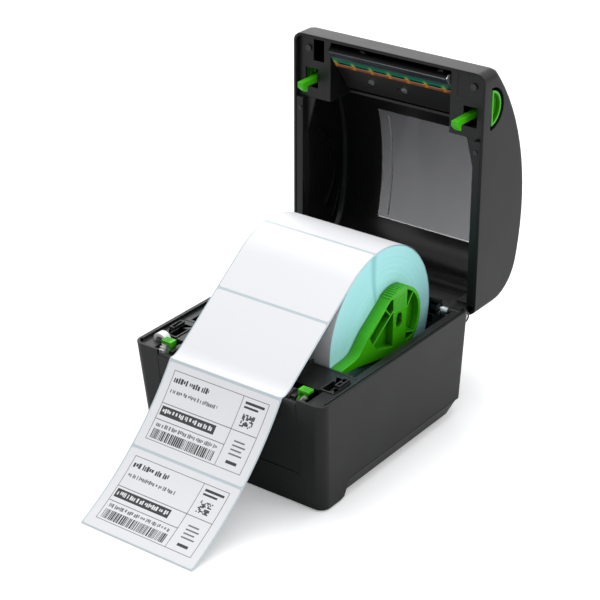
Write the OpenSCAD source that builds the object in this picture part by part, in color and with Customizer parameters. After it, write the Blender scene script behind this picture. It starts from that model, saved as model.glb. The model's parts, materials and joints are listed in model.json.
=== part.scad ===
// Desktop label printer, clamshell type, with its lid open and a roll of labels loaded.
// +X is the printer's right, -Y its front, +Z up. The origin is on the ground, under the middle of the
// box that holds the printer with its lid open and its strip of labels.

/* [Body] */
// Width of the printer over its sides
body_w = 183; // [176:1:210]
// Depth of the base from front face to rear face
body_d = 205; // [203:1:215]
// Height of the base's rim, where the lid meets it
rim_z = 97; // [95:0.5:104]
// Thickness of the moulded walls
wall = 2.5; // [2:0.1:3]
// Radius of the upright corners
corner_r = 8.5; // [7:0.5:12]
// How far the front face leans back at the bottom
front_lean = 10; // [6:1:14]
// How far each side of the base draws in towards the ground
side_taper = 5.5; // [0:0.5:7]
// Height of the sloping strip along the lower edge of each side
chamfer_h = 12; // [8:1:14]
// How far that strip tucks in
chamfer_in = 4; // [2:0.5:5]
// Half width of the removable panel in the front face
bezel_half = 66.5; // [62:0.5:70]

/* [Lid] */
// Height of the closed lid above the ground, at its crown
lid_top_z = 170.5; // [168:0.5:180]
// Radius of the long curve over the lid
crown_r = 190; // [180:5:230]
// Radius of the curve over the lid's back
lid_back_r = 38; // [34:1:40]
// Radius where the lid's front face turns into its top
lid_front_r = 9; // [6:1:11]
// Gap between the closed lid and the rim
mate_gap = 0.6; // [0.4:0.1:1]
// Angle of the lid as it stands open
lid_open = 90; // [85:1:90]
// Width of the window
window_w = 98; // [80:2:104]
// Where the window starts, from the front
window_y0 = 76; // [70:1:90]
// Where the window ends, from the front
window_y1 = 176; // [150:1:178]

/* [Hinge] */
// Radius of each steel hinge pin
pin_r = 2.5; // [2:0.1:3]
// Height of the hinge axis below the rim
hinge_drop = 8; // [7:0.5:9]
// Distance of the hinge axis in from the rear face
hinge_in = 2; // [1:0.5:3]
// Radial clearance of every running fit
run_c = 0.06; // [0.03:0.01:0.09]

/* [Roll and web] */
// Width of the labels and their backing
web_w = 108; // [100:1:110]
// Outside diameter of the roll
roll_od = 139; // [120:1:139]
// Outside diameter of the cardboard core
core_od = 43; // [40:0.5:46]
// Bore of the cardboard core
core_id = 38.1; // [36:0.1:39]
// Thickness of labels and backing together
web_t = 0.4; // [0.3:0.05:0.5]
// Gap left round the roll in the bay
bay_c = 3; // [3:0.5:4]

/* [Platen] */
// Radius of the rubber platen
platen_r = 8; // [7:0.25:8]
// Radius of the platen's steel shaft
shaft_r = 3; // [2.5:0.1:3.5]
// Distance of the platen's axis from the front face
platen_y = 14; // [13:0.5:16]
// Depth of the platen's axis below the rim
platen_drop = 9; // [9:0.5:11]

/* [Gears] */
// Tooth size of the drive train
gear_m = 0.8; // [0.7:0.05:0.8]
// Teeth on the platen gear
platen_teeth = 20; // [18:1:20]
// Teeth on the idler
idler_teeth = 28; // [26:1:30]
// Teeth on the small side of the double gear
small_teeth = 14; // [13:1:16]
// Teeth on the large side of the double gear
large_teeth = 40; // [36:1:40]
// Teeth on the motor pinion
pinion_teeth = 12; // [12:1:14]
// Tooth size of the centring racks
rack_m = 1.5; // [1.25:0.05:1.5]
// Teeth on the centring pinion
centre_teeth = 16; // [14:1:16]

/* [Roll holders] */
// Travel of each holder away from the roll
holder_stroke = 12; // [8:1:12]
// Radius of the round head of a holder
holder_r = 29; // [26:1:31]
// Thickness over a holder's rim
holder_t = 10; // [8:0.5:11]

/* [Latch] */
// Radius of the latch shaft
latch_r = 3; // [2.5:0.1:3.5]
// Distance of the latch shaft from the front
latch_y = 38; // [36:0.5:40]
// Height of the latch shaft above the rim
latch_up = 31; // [28:1:33]
// Width of each hook
hook_w = 5.5; // [4.5:0.5:5.5]

/* [Feet and fasteners] */
// Height of the rubber feet
foot_h = 4; // [3:0.5:5]
// Radius of the rubber feet
foot_r = 9; // [7:0.5:10]
// Radius of a screw head
screw_r = 2.8; // [2.2:0.1:3]

/* [Hidden] */
$fn = 48;

case_col = [0.13, 0.13, 0.14];
inner_col = [0.17, 0.17, 0.18];
green = [0.18, 0.72, 0.16];
steel = [0.75, 0.76, 0.78];

half_w = body_w / 2;
fit_c = 0.2;
part_c = 0.3;

// Every piece is laid out from the front face and then moved to the middle of the whole box.
web_end = [-108, web_t / 2 + 0.2];
hinge_y = body_d - hinge_in;
hinge_z = rim_z - hinge_drop;
origin_y = (hinge_y + lid_top_z - hinge_z + web_end[0]) / 2;
module placed() translate([0, -origin_y, 0]) children();

// Turns a flat (y, z) outline into a piece from x0 to x1.
module across(x0, x1) translate([x0, 0, 0]) rotate([90, 0, 90]) linear_extrude(x1 - x0) children();
module box3(x0, x1, y0, y1, z0, z1) translate([x0, y0, z0]) cube([x1 - x0, y1 - y0, z1 - z0]);
module both() {
    children();
    mirror([1, 0, 0]) children();
}
module rod(x0, x1, y, z, r) translate([x0, y, z]) rotate([0, 90, 0]) cylinder(r = r, h = x1 - x0);
module disc2(y, z, r) translate([y, z]) circle(r);

// Points of an arc in the (y, z) plane.
function arc(c, r, a0, a1, n) =
    [for (i = [0:n]) let(a = a0 + (a1 - a0) * i / n) [c[0] + r * cos(a), c[1] + r * sin(a)]];

// ---- base -------------------------------------------------------------------------------------
base_z = foot_h;
skirt_z = 1;
skirt_y1 = 32;
rear_rise_y = body_d - 18;
rear_rise_z = 14;

// Outline seen from above, drawn in at the sides and the front by the given amounts.
module plan(inset, side_in = 0, front_in = 0) {
    r = corner_r - inset;
    w = half_w - inset - side_in;
    y0 = inset + front_in;
    y1 = body_d - inset;
    translate([-w + r, y0]) square([2 * (w - r), y1 - y0]);
    translate([-w, y0 + r]) square([2 * w, y1 - y0 - 2 * r]);
    for (sx = [-1, 1], y = [y0 + r, y1 - r]) translate([sx * (w - r), y]) circle(r);
}
function taper_at(z) = side_taper * (rim_z - z) / (rim_z - skirt_z);
// Block with sloping sides, straight above the rim and below the skirt.
module tapered(inset) hull() {
    translate([0, 0, rim_z]) linear_extrude(6) plan(inset);
    translate([0, 0, skirt_z - 6]) linear_extrude(6) plan(inset, side_taper, front_lean);
}
// Side outlines of the base: its outside, and its hollow, open below and floored at the rear.
module base_side() {
    polygon([[-1, rim_z], [-1, skirt_z], [skirt_y1, skirt_z], [skirt_y1 + 12, base_z],
        [rear_rise_y, base_z], [rear_rise_y + 8, rear_rise_z], [body_d, rear_rise_z], [body_d, rim_z]]);
}
module base_hollow() {
    y = rear_rise_y - wall;
    polygon([[-1, rim_z + 5], [-1, skirt_z - 5], [y, skirt_z - 5], [y, base_z + wall],
        [y + 8, rear_rise_z + wall], [body_d, rear_rise_z + wall], [body_d, rim_z + 5]]);
}
module base_front(inset) {
    zc = base_z + chamfer_h;
    w = half_w - inset - taper_at(zc);
    w1 = half_w;
    polygon([[-w1, rim_z + 9], [-w1, zc], [-w, zc], [-w + chamfer_in, base_z], [-w + chamfer_in, -9],
        [w - chamfer_in, -9], [w - chamfer_in, base_z], [w, zc], [w1, zc], [w1, rim_z + 9]]);
}
module base_form(inset) {
    intersection() {
        tapered(inset);
        across(-half_w, half_w) {
            if (inset == 0) base_side();
            else base_hollow();
        }
        union() {
            rotate([90, 0, 0]) translate([0, 0, -body_d]) linear_extrude(body_d) base_front(inset);
            across(-half_w, half_w) polygon([[-1, -9], [skirt_y1 - inset, -9], [skirt_y1 + 12 - inset, base_z + chamfer_h + 3],
                [-1, base_z + chamfer_h + 3]]);
        }
    }
}
// Distance of the front face behind the front edge, at a height.
function front_y(z) = front_lean * (rim_z - z) / (rim_z - skirt_z);

bezel_z0 = 30;
port_z0 = 17;
port_z1 = 72;
port_half = 76;
fold_half = 57;
fold_z0 = 75;
fold_z1 = 81.5;

// ---- hinge ------------------------------------------------------------------------------------
arm_x0 = 73;
arm_x1 = 84;
arm_c = 0.5;
barrel_r = 5;
pin_x0 = 62;
pin_x1 = half_w - wall - part_c;
boss_x1 = 65;

module arm_notch(x0) {
    both() box3(x0, arm_x1 + arm_c, hinge_y - barrel_r - 1.5, body_d + 1,
        hinge_z - barrel_r - 0.5, rim_z + 1);
}
module hinge_bosses() {
    both() {
        for (x = [[pin_x0, boss_x1 - 1], [arm_x1 + arm_c, half_w - wall]])
            difference() {
                union() {
                    rod(x[0], x[1], hinge_y, hinge_z, 4.5);
                    box3(x[0], x[1], hinge_y - 4.5, body_d - wall, hinge_z - 5, hinge_z);
                }
                rod(x[0] - 1, x[1] + 1, hinge_y, hinge_z, pin_r);
            }
    }
}

module lower_case() color(case_col) placed() {
    difference() {
        base_form(0);
        base_form(wall);
        // opening of the front panel
        box3(-bezel_half, bezel_half, -1, front_lean + 5, bezel_z0, rim_z + 1);
        // opening of the rear panel
        box3(-port_half, port_half, body_d - wall - 1, body_d + 1, port_z0, port_z1);
        // slot for fan-folded labels
        box3(-fold_half, fold_half, body_d - wall - 1, body_d + 1, fold_z0, fold_z1);
        arm_notch(boss_x1 - 0.7);
        both() rod(pin_x0, pin_x1, hinge_y, hinge_z, pin_r);
    }
    difference() {
        hinge_bosses();
        both() rod(half_w - wall, half_w + 1, hinge_y, hinge_z, 4.6);
    }
}

// ---- front panel ------------------------------------------------------------------------------
lip_r = 2.2;
lip_y = 2.6;
lip_z = rim_z - 5.4;
module front_bezel() color(case_col) placed() {
    across(-bezel_half + fit_c, bezel_half - fit_c) {
        difference() {
            polygon([[front_y(lip_z), lip_z], [front_y(bezel_z0 + fit_c), bezel_z0 + fit_c],
                [front_y(bezel_z0 + fit_c) + wall, bezel_z0 + fit_c], [front_y(lip_z) + wall + 1, lip_z]]);
            disc2(lip_y, lip_z, lip_r);
        }
        disc2(lip_y, lip_z, lip_r);
    }
}

// ---- print line -------------------------------------------------------------------------------
platen_z = rim_z - platen_drop;
roll_r = roll_od / 2;
roll_y = 131;
roll_z = rim_z - 1;
half_web = web_w / 2;
// Slope of the line that touches the platen and the roll from above.
gap_web = 0.3;
pr_d = norm([roll_y - platen_y, roll_z - platen_z]);
web_slope = atan2(roll_z - platen_z, roll_y - platen_y) + asin((roll_r - platen_r) / pr_d);
nip_y = platen_y - platen_r * sin(web_slope);
nip_z = platen_z + platen_r * cos(web_slope);

// The frame of the print head when the lid is closed: +y along the web, +z away from the platen.
module at_nip() translate([0, nip_y, nip_z]) rotate([web_slope, 0, 0]) children();

ear_x0 = 57;
ear_x1 = 61;
deck_z1 = rim_z - 2;
deck_z0 = deck_z1 - 2.5;
lip_rise = 0.6;
deck_y0 = wall + 1.3;
deck_y1 = 55;
well_half = 73.5;
well_y1 = 26;
bush_r = 5;
ear_y1 = well_y1 + 0.5;
function ear_front(z) = front_y(z) + wall + 1.8;

catch_x0 = 69;
catch_x1 = 83;
catch_y0 = 26;
catch_y1 = 49;
catch_z0 = 80;
guide_x = -80;
guide_y = 18;
sensor_x = -10;
sensor_y = 36;

// Level plate just below the rim, between two distances from the front.
module rim_plate(y0, y1) translate([0, 0, deck_z0]) linear_extrude(deck_z1 - deck_z0) intersection() {
    plan(wall + fit_c + 0.3);
    translate([-half_w, y0]) square([body_w, y1 - y0]);
}
// Low lip round the plate's edge, inside the rim.
module rim_lip(y0, y1) translate([0, 0, deck_z1]) linear_extrude(rim_z + lip_rise - deck_z1) intersection() {
    difference() {
        plan(wall + fit_c);
        plan(wall + fit_c + 1.4);
    }
    translate([-half_w, y0]) square([body_w, y1 - y0]);
}
module front_deck() color(inner_col) placed() {
    rim_lip(well_y1, deck_y1);
    both() intersection() {
        rim_lip(deck_y0 + 4, well_y1);
        box3(well_half + 1, half_w, 0, well_y1, 0, rim_z + 9);
    }
    difference() {
        rim_plate(deck_y0, deck_y1);
        box3(-well_half, well_half, 0, well_y1, deck_z0 - 1, deck_z1 + 1);
        both() box3(catch_x0, catch_x1, catch_y0, catch_y1, deck_z0 - 1, deck_z1 + 1);
        translate([guide_x, guide_y, deck_z0 - 1]) cylinder(r = 4.2, h = 5);
        box3(sensor_x - 5.2, sensor_x + 5.2, sensor_y - 8.2, sensor_y + 8.2, deck_z0 - 1, deck_z1 + 1);
    }
    // upright ears that carry the platen
    both() difference() {
        across(ear_x0, ear_x1) polygon([[ear_front(40), 40], [ear_y1, 40], [ear_y1, deck_z0],
            [ear_front(deck_z0), deck_z0]]);
        rod(ear_x0 - 1, ear_x1 + 1, platen_y, platen_z, bush_r);
        box3(ear_x0 - 1, ear_x1 + 1, ear_front(52) + 3, ear_y1 - 4, 52, 72);
    }
    both() difference() {
        box3(ear_x0, ear_x1, platen_y - 7, platen_y + 7, deck_z0, platen_z + bush_r + 2);
        rod(ear_x0 - 1, ear_x1 + 1, platen_y, platen_z, bush_r);
    }
    // guide ribs under the labels, behind the platen
    for (x = [-44:11:44])
        if (abs(x - sensor_x) > 8)
            across(x - 0.8, x + 0.8) polygon([[well_y1 + 1.5, deck_z1], [deck_y1 - 1, deck_z1],
                [deck_y1 - 1, deck_z1 + 6], [deck_y1 - 6, deck_z1 + 6]]);
}

module media_sensor() color([0.05, 0.05, 0.06]) placed() {
    box3(sensor_x - 5, sensor_x + 5, sensor_y - 8, sensor_y + 8, deck_z0 - 6, deck_z1 + 0.6);
    translate([sensor_x, sensor_y - 3, deck_z1 + 0.6]) cylinder(r = 1.6, h = 0.6);
    translate([sensor_x, sensor_y + 3, deck_z1 + 0.6]) cylinder(r = 1.6, h = 0.6);
}

// Boxes that the lid's hooks drop into, each with a lip that the hook's nose catches under. A small
// tower with two slots stands beside each pocket.
lip_catch_z = 90;
tower = [77.9, 82.5, 34, 48, 3.5];
module latch_catches() color([0.08, 0.08, 0.09]) placed() both() {
    x0 = catch_x0 + fit_c;
    x1 = catch_x1 - fit_c;
    y0 = catch_y0 + fit_c;
    y1 = catch_y1 - fit_c;
    xp = tower[0] - 0.6;
    difference() {
        union() {
            box3(x0, x1, y0, y1, catch_z0, deck_z1 + 0.8);
            box3(tower[0], tower[1], tower[2], tower[3], deck_z1, deck_z1 + tower[4]);
        }
        box3(x0 + 1.6, xp, y0 + 1.6, y1 - 1.4, catch_z0 + 1.6, lip_catch_z);
        box3(x0 + 1.6, xp, y0 + 1.6, latch_y + 4.2, lip_catch_z - 1, deck_z1 + 2);
        for (y = [tower[2] + 1.2, tower[2] + 7.8])
            box3(tower[0] + 1.2, tower[1] - 1.2, y, y + 5, deck_z1 - 3, deck_z1 + tower[4] + 1);
    }
}

module light_guide() color([0.95, 0.95, 0.93]) placed() {
    translate([guide_x, guide_y, deck_z0 - 10]) cylinder(r = 4, h = deck_z1 + 10 - deck_z0);
    translate([guide_x, guide_y, deck_z1]) cylinder(r = 5.2, h = 1.4);
}

// ---- media bay --------------------------------------------------------------------------------
bay_half = 80;
bay_r = roll_r + bay_c;
tray_t = 2;
tray_y0 = deck_y1 + 0.3;
tray_y1 = body_d - wall - fit_c;
slot_y0 = roll_y - 8;
slot_y1 = roll_y + 8;
slot_x0 = 50;
holder_x0 = half_web + part_c;
holder_x1 = holder_x0 + holder_t;

module tray_ring(r, x) rod(-x, x, roll_y, roll_z, r, $fn = 96);
module media_tray() color(inner_col) placed() {
    rim_lip(tray_y0, hinge_y - barrel_r - 2);
    difference() {
        union() {
            intersection() {
                tray_ring(bay_r + tray_t, bay_half + tray_t);
                box3(-half_w, half_w, tray_y0, tray_y1, 0, deck_z1);
            }
            rim_plate(tray_y0, hinge_y - barrel_r - 2);
            box3(-bay_half, bay_half, tray_y0, tray_y1, deck_z0, deck_z1);
        }
        tray_ring(bay_r, bay_half);
        arm_notch(pin_x0 - 0.5);
        // slots for the holders' stems
        both() box3(slot_x0, holder_x0 + stem_t + holder_stroke + 1.5, slot_y0, slot_y1, 10, 30);
        box3(-fold_half, fold_half, body_d - wall - 8, body_d, fold_z0, fold_z1);
    }
}

// ---- rear panel and electrics -----------------------------------------------------------------
board_z = 17.2;
board_t = 1.6;
board_y0 = 154;
board_y1 = body_d - wall - 0.7;
board_top = board_z + board_t;
inlet_x = 42;
usb_x = 12;
switch_x = -44;
switch_z = 40;

module rear_cover() color(case_col) placed() {
    difference() {
        union() {
            box3(-port_half + fit_c, port_half - fit_c, body_d - wall, body_d, port_z0 + fit_c, port_z1 - fit_c);
            box3(-port_half + 6, port_half - 6, body_d, body_d + 0.8, board_top - 0.6, port_z1 - 6);
        }
        box3(inlet_x - 6.2, inlet_x + 6.2, body_d - 4, body_d + 2, board_top - 0.2, board_top + 11.7);
        box3(usb_x - 6.7, usb_x + 6.7, body_d - 4, body_d + 2, board_top - 0.2, board_top + 11.2);
        box3(switch_x - 6.2, switch_x + 6.2, body_d - 4, body_d + 2, switch_z - 9.7, switch_z + 9.7);
        for (x = [20:8:60]) box3(x, x + 3.5, body_d - 4, body_d + 2, 42, 64);
    }
}
module main_board() color([0.06, 0.3, 0.14]) placed() {
    difference() {
        box3(-68, 68, board_y0, board_y1, board_z, board_top);
        for (p = board_screws_at) translate([p[0], p[1], 0]) cylinder(r = 1.6, h = 30);
    }
    box3(-30, -14, board_y0 + 8, board_y0 + 24, board_top, board_top + 1.6);
    box3(-50, -40, board_y0 + 10, board_y0 + 20, board_top, board_top + 1.2);
    for (x = [24, 33]) translate([x, board_y0 + 12, board_top]) cylinder(r = 3.4, h = 6);
}
module dc_inlet() color([0.05, 0.05, 0.05]) placed() {
    y0 = body_d - 14;
    difference() {
        box3(inlet_x - 6, inlet_x + 6, y0, body_d + 0.5, board_top, board_top + 11.5);
        translate([inlet_x, y0 + 3, board_top + 6]) rotate([-90, 0, 0]) cylinder(r = 3.2, h = 20);
    }
    translate([inlet_x, y0 + 2, board_top + 6]) rotate([-90, 0, 0]) cylinder(r = 1, h = 11);
}
module usb_port() color(steel) placed() {
    y0 = body_d - 16;
    difference() {
        box3(usb_x - 6.5, usb_x + 6.5, y0, body_d + 0.5, board_top, board_top + 11);
        box3(usb_x - 4.4, usb_x + 4.4, y0 + 3, body_d + 1, board_top + 1.5, board_top + 9.5);
    }
    box3(usb_x - 2.8, usb_x + 2.8, y0 + 2, body_d - 2, board_top + 4, board_top + 7);
}

rocker_r = 8;
rocker_half = 4.8;
module switch_housing() color([0.06, 0.06, 0.06]) placed() {
    difference() {
        union() {
            box3(switch_x - 6, switch_x + 6, body_d - 14, body_d, switch_z - 9.5, switch_z + 9.5);
            box3(switch_x - 8, switch_x + 8, body_d + 0.8, body_d + 2, switch_z - 11.5, switch_z + 11.5);
            box3(switch_x - 6, switch_x + 6, body_d - 1, body_d + 1, switch_z - 9.5, switch_z + 9.5);
        }
        box3(switch_x - 5, switch_x + 5, body_d - 11, body_d + 3, switch_z - 8.3, switch_z + 8.3);
        rod(switch_x - 5.6, switch_x + 5.6, body_d - 2, switch_z, 1.2 + run_c);
    }
}
rocker_tilt = 7;
module power_rocker() color([0.1, 0.1, 0.1]) placed() {
    translate([0, body_d - 2, switch_z]) rotate([-rocker_tilt, 0, 0]) translate([0, -body_d + 2, -switch_z]) {
        intersection() {
            rod(switch_x - rocker_half, switch_x + rocker_half, body_d - 2, switch_z, rocker_r);
            across(switch_x - rocker_half, switch_x + rocker_half)
                polygon([[body_d - 6, switch_z - 9], [body_d + 4.6, switch_z - 9], [body_d + 3, switch_z],
                    [body_d + 4.6, switch_z + 9], [body_d - 6, switch_z + 9]]);
        }
        rod(switch_x - 5.5, switch_x + 5.5, body_d - 2, switch_z, 1.2);
    }
}

// ---- bottom plate, feet and screws ------------------------------------------------------------
plate_t = 2.5;
plate_y0 = front_lean + wall + fit_c + 0.5;
plate_y1 = rear_rise_y - wall - fit_c;
plate_half = half_w - taper_at(base_z + chamfer_h) - chamfer_in - wall - fit_c;
feet_at = [for (x = [-64, 64], y = [44, 158]) [x, y]];
plate_screw_x = plate_half - 5;
plate_screws_at = [for (x = [-plate_screw_x, plate_screw_x], y = [34, 172]) [x, y]];
board_screws_at = [for (x = [-62, 62], y = [board_y0 + 5, board_y0 + 25]) [x, y]];
post_r = 3.4;
plate_top = base_z + plate_t;
module bottom_plate() color(case_col) placed() {
    difference() {
        union() {
            box3(-plate_half, plate_half, plate_y0, plate_y1, base_z, plate_top);
            for (p = board_screws_at) translate([p[0], p[1], plate_top]) cylinder(r = post_r, h = board_z - plate_top);
            // rails that the racks run on
            for (y = [rack_y(-1), rack_y(1)])
                box3(-plate_half + 5, plate_half - 5, y - 4, y + 4, plate_top, rack_z0 - 0.1);
            translate([0, roll_y, plate_top]) cylinder(r = 6, h = rack_z0 - plate_top - 0.1);
            translate([0, roll_y, plate_top]) cylinder(r = 3, h = rack_z1 - plate_top + 1);
        }
        for (p = board_screws_at) translate([p[0], p[1], plate_top + 1]) cylinder(r = 1.5, h = 20);
        for (p = plate_screws_at) translate([p[0], p[1], base_z - 1]) cylinder(r = 1.6, h = 9);
    }
}
module rubber_feet() color([0.09, 0.09, 0.09]) placed()
    for (p = feet_at) translate([p[0], p[1], 0]) {
        cylinder(r = foot_r, h = foot_h);
    }
module base_screws() color(steel) placed() {
    for (p = board_screws_at) translate([p[0], p[1], 0]) {
        translate([0, 0, board_top]) cylinder(r = screw_r, h = 1.8);
        translate([0, 0, plate_top + 1]) cylinder(r = 1.5, h = board_top - plate_top);
    }
    for (p = plate_screws_at) translate([p[0], p[1], 0]) {
        translate([0, 0, base_z - 1.2]) cylinder(r = screw_r, h = 1.2);
        translate([0, 0, base_z - 1]) cylinder(r = 1.6, h = plate_t + 7);
    }
}

// ---- gears ------------------------------------------------------------------------------------
press_a = 20;
function inv(a) = tan(a) * 180 / PI - a;
// Half angle of a tooth at radius r.
function half_tooth(z, m, r, slack) = let(rp = m * z / 2, rb = rp * cos(press_a), q = min(1, rb / r))
    (PI * m / 2 - slack) / 2 / rp * 180 / PI + inv(press_a) - inv(acos(q));
function gear_points(z, m, slack, steps = 3) = let(rp = m * z / 2, rb = rp * cos(press_a),
        rf = rp - 1.2 * m, ra = rp + m, r0 = max(rb, rf),
        rs = [for (i = [0:steps]) r0 + (ra - r0) * i / steps])
    [for (k = [0:z - 1]) let(a = k * 360 / z) each concat(
        [[rf, a - half_tooth(z, m, r0, slack)]],
        [for (r = rs) [r, a - half_tooth(z, m, r, slack)]],
        [for (i = [steps:-1:0]) [rs[i], a + half_tooth(z, m, rs[i], slack)]],
        [[rf, a + half_tooth(z, m, r0, slack)]])];
module gear2d(z, m, turn, slack = 0.12)
    polygon([for (p = gear_points(z, m, slack)) [p[0] * cos(p[1] + turn), p[0] * sin(p[1] + turn)]]);
// Angle of the second gear's first tooth, so that it meshes with the first.
function mesh_turn(dir, turn, za, zb) = dir + 180 - 360 / zb * (0.5 - (dir - turn) * za / 360);
module drive_gear(c, z, turn, x0, x1) translate([x0, c[0], c[1]]) rotate([90, 0, 90])
    linear_extrude(x1 - x0) gear2d(z, gear_m, turn);

idler_dir = -74;
double_dir = -66;
motor_dir = -26;
function step_from(c, dir, za, zb) = let(d = gear_m * (za + zb) / 2) [c[0] + d * cos(dir), c[1] + d * sin(dir)];
platen_c = [platen_y, platen_z];
idler_c = step_from(platen_c, idler_dir, platen_teeth, idler_teeth);
double_c = step_from(idler_c, double_dir, idler_teeth, small_teeth);
motor_c = step_from(double_c, motor_dir, large_teeth, pinion_teeth);
idler_turn = mesh_turn(idler_dir, 0, platen_teeth, idler_teeth);
small_turn = mesh_turn(double_dir, idler_turn, idler_teeth, small_teeth);
pinion_turn = mesh_turn(motor_dir, 0, large_teeth, pinion_teeth);
stud_r = 2.5;
plate_x0 = -65;
plate_x1 = -63.5;
gear_x0 = -71;
gear_x1 = -66.5;
large_x0 = -76;
large_x1 = -71.6;

module gear_plate() color(steel) placed() {
    across(plate_x0, plate_x1) difference() {
        polygon([[14, 76], [27, 82], [60, 60], [60, 34], [20, 34], [16, 50]]);
        disc2(motor_c[0], motor_c[1], 9);
    }
    rod(gear_x0 - 0.3, plate_x0, idler_c[0], idler_c[1], stud_r);
    rod(large_x0 - 0.3, plate_x0, double_c[0], double_c[1], stud_r);
    rod(large_x0 - 1.3, large_x0 - 0.3, double_c[0], double_c[1], stud_r + 1.4);
    // feet that stand on the motor's face
    across(plate_x1, -ear_x1) polygon([[14, 76], [20, 79], [20, 70], [15, 66]]);
}
module motor_body() color([0.2, 0.2, 0.22]) placed() {
    difference() {
        union() {
            across(plate_x1, -30) offset(r = 3) offset(delta = -3) translate([motor_c[0], motor_c[1]]) square(34, center = true);
            rod(plate_x0, plate_x1, motor_c[0], motor_c[1], 9);
        }
        rod(plate_x0 - 1, -31, motor_c[0], motor_c[1], 2 + run_c);
    }
}
module motor_pinion() color([0.8, 0.65, 0.3]) placed() {
    drive_gear(motor_c, pinion_teeth, pinion_turn, large_x0, large_x1);
    rod(large_x0 - 1, -32, motor_c[0], motor_c[1], 2);
}
module double_gear() color([0.92, 0.92, 0.88]) placed() difference() {
    union() {
        drive_gear(double_c, small_teeth, small_turn, large_x1, gear_x1);
        drive_gear(double_c, large_teeth, 0, large_x0, large_x1);
    }
    rod(large_x0 - 1, gear_x1 + 1, double_c[0], double_c[1], stud_r + run_c);
}
module idler_gear() color([0.92, 0.92, 0.88]) placed() difference() {
    drive_gear(idler_c, idler_teeth, idler_turn, gear_x0, gear_x1);
    rod(large_x0 - 2, gear_x1 + 1, idler_c[0], idler_c[1], stud_r + run_c);
}
module platen_gear() color([0.92, 0.92, 0.88]) placed() difference() {
    drive_gear(platen_c, platen_teeth, 0, gear_x0, gear_x1);
    rod(gear_x0 - 1, gear_x1 + 1, platen_y, platen_z, shaft_r);
}
module platen_shaft() color(steel) placed() {
    rod(gear_x0 - 0.8, 66, platen_y, platen_z, shaft_r);
}
rubber_half = 55;
module platen_rubber() color([0.12, 0.12, 0.12]) placed() difference() {
    rod(-rubber_half, rubber_half, platen_y, platen_z, platen_r);
    rod(-rubber_half - 1, rubber_half + 1, platen_y, platen_z, shaft_r);
}
lever_x0 = 61.3;
lever_x1 = 63.2;
module platen_bushes() color([0.85, 0.85, 0.8]) placed() both() difference() {
    rod(ear_x0 - 1, lever_x1 + 0.2, platen_y, platen_z, bush_r);
    rod(ear_x0 - 2, lever_x1 + 1, platen_y, platen_z, shaft_r + run_c);
}
// Green lever round each bush: it frees the platen when it is pulled forward.
tab_r0 = 9.5;
tab_r1 = 12;
tab_end = 71;
module release_lever() {
    difference() {
        union() {
            rod(lever_x0, lever_x1, platen_y, platen_z, bush_r + 2.2);
            box3(lever_x0, lever_x1, platen_y - 3.5, platen_y + 3.5, platen_z, platen_z + tab_r1);
            box3(lever_x0, tab_end, platen_y - 3.5, platen_y + 3.5, platen_z + tab_r0, platen_z + tab_r1);
        }
        rod(lever_x0 - 1, lever_x1 + 1, platen_y, platen_z, bush_r + run_c);
        for (y = [-2, 0, 2]) box3(lever_x1 + 1, tab_end + 1, platen_y + y - 0.4, platen_y + y + 0.4,
            platen_z + tab_r1 - 0.6, platen_z + tab_r1 + 1);
    }
}
module release_lever_right() color(green) placed() release_lever();
module release_lever_left() color(green) placed() mirror([1, 0, 0]) release_lever();

// ---- roll and web -----------------------------------------------------------------------------
module label_roll() color([0.93, 0.96, 0.97]) placed() difference() {
    rod(-half_web, half_web, roll_y, roll_z, roll_r, $fn = 96);
    rod(-half_web - 1, half_web + 1, roll_y, roll_z, core_od / 2);
}
module roll_core() color([0.62, 0.5, 0.36]) placed() difference() {
    rod(-half_web, half_web, roll_y, roll_z, core_od / 2);
    rod(-half_web - 1, half_web + 1, roll_y, roll_z, core_id / 2);
}
function bez2(a, b, c, n) = [for (i = [0:n]) let(t = i / n) (1 - t) * (1 - t) * a + 2 * t * (1 - t) * b + t * t * c];
// Middle line of the web from the roll to the ground in front.
web_off = gap_web + web_t / 2;
web_n = [-sin(web_slope), cos(web_slope)];
web_u = [cos(web_slope), sin(web_slope)];
nip_p = [nip_y, nip_z] + web_off * web_n;
leave_p = [lip_y - (lip_r + web_off) * 0.84, lip_z + (lip_r + web_off) * 0.55];
web_mid = [-40.6, 32];
web_line = concat(
    arc([roll_y, roll_z], roll_r + web_off, 60, 90 + web_slope, 8),
    bez2(nip_p + 7 * web_u, nip_p, [nip_p[0] - 5, nip_p[1] - 1.1], 5),
    arc([lip_y, lip_z], lip_r + web_off, 104, 146, 4),
    [for (p = bez2(leave_p, web_mid, web_end, 12)) if (p[0] < leave_p[0] - 1) p]);
function left_of(a, b) = let(d = (b - a) / norm(b - a)) [-d[1], d[0]];
function side_points(p, h) = [for (i = [0:len(p) - 1])
    p[i] + h * left_of(p[max(i - 1, 0)], p[min(i + 1, len(p) - 1)])];
function reversed(p) = [for (i = [len(p) - 1:-1:0]) p[i]];
module label_strip() color([0.95, 0.95, 0.95]) placed() across(-half_web, half_web)
    polygon(concat(side_points(web_line, web_t / 2), reversed(side_points(web_line, -web_t / 2))));

// ---- roll holders -----------------------------------------------------------------------------
hub_r = core_id / 2 - 0.3;
plate_h = 3;
rack_z0 = 12;
rack_z1 = 17;
stem_half = 6.5;
stem_t = 5;
function rack_y(side) = roll_y + side * (rack_m * centre_teeth / 2 + 5);

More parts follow.
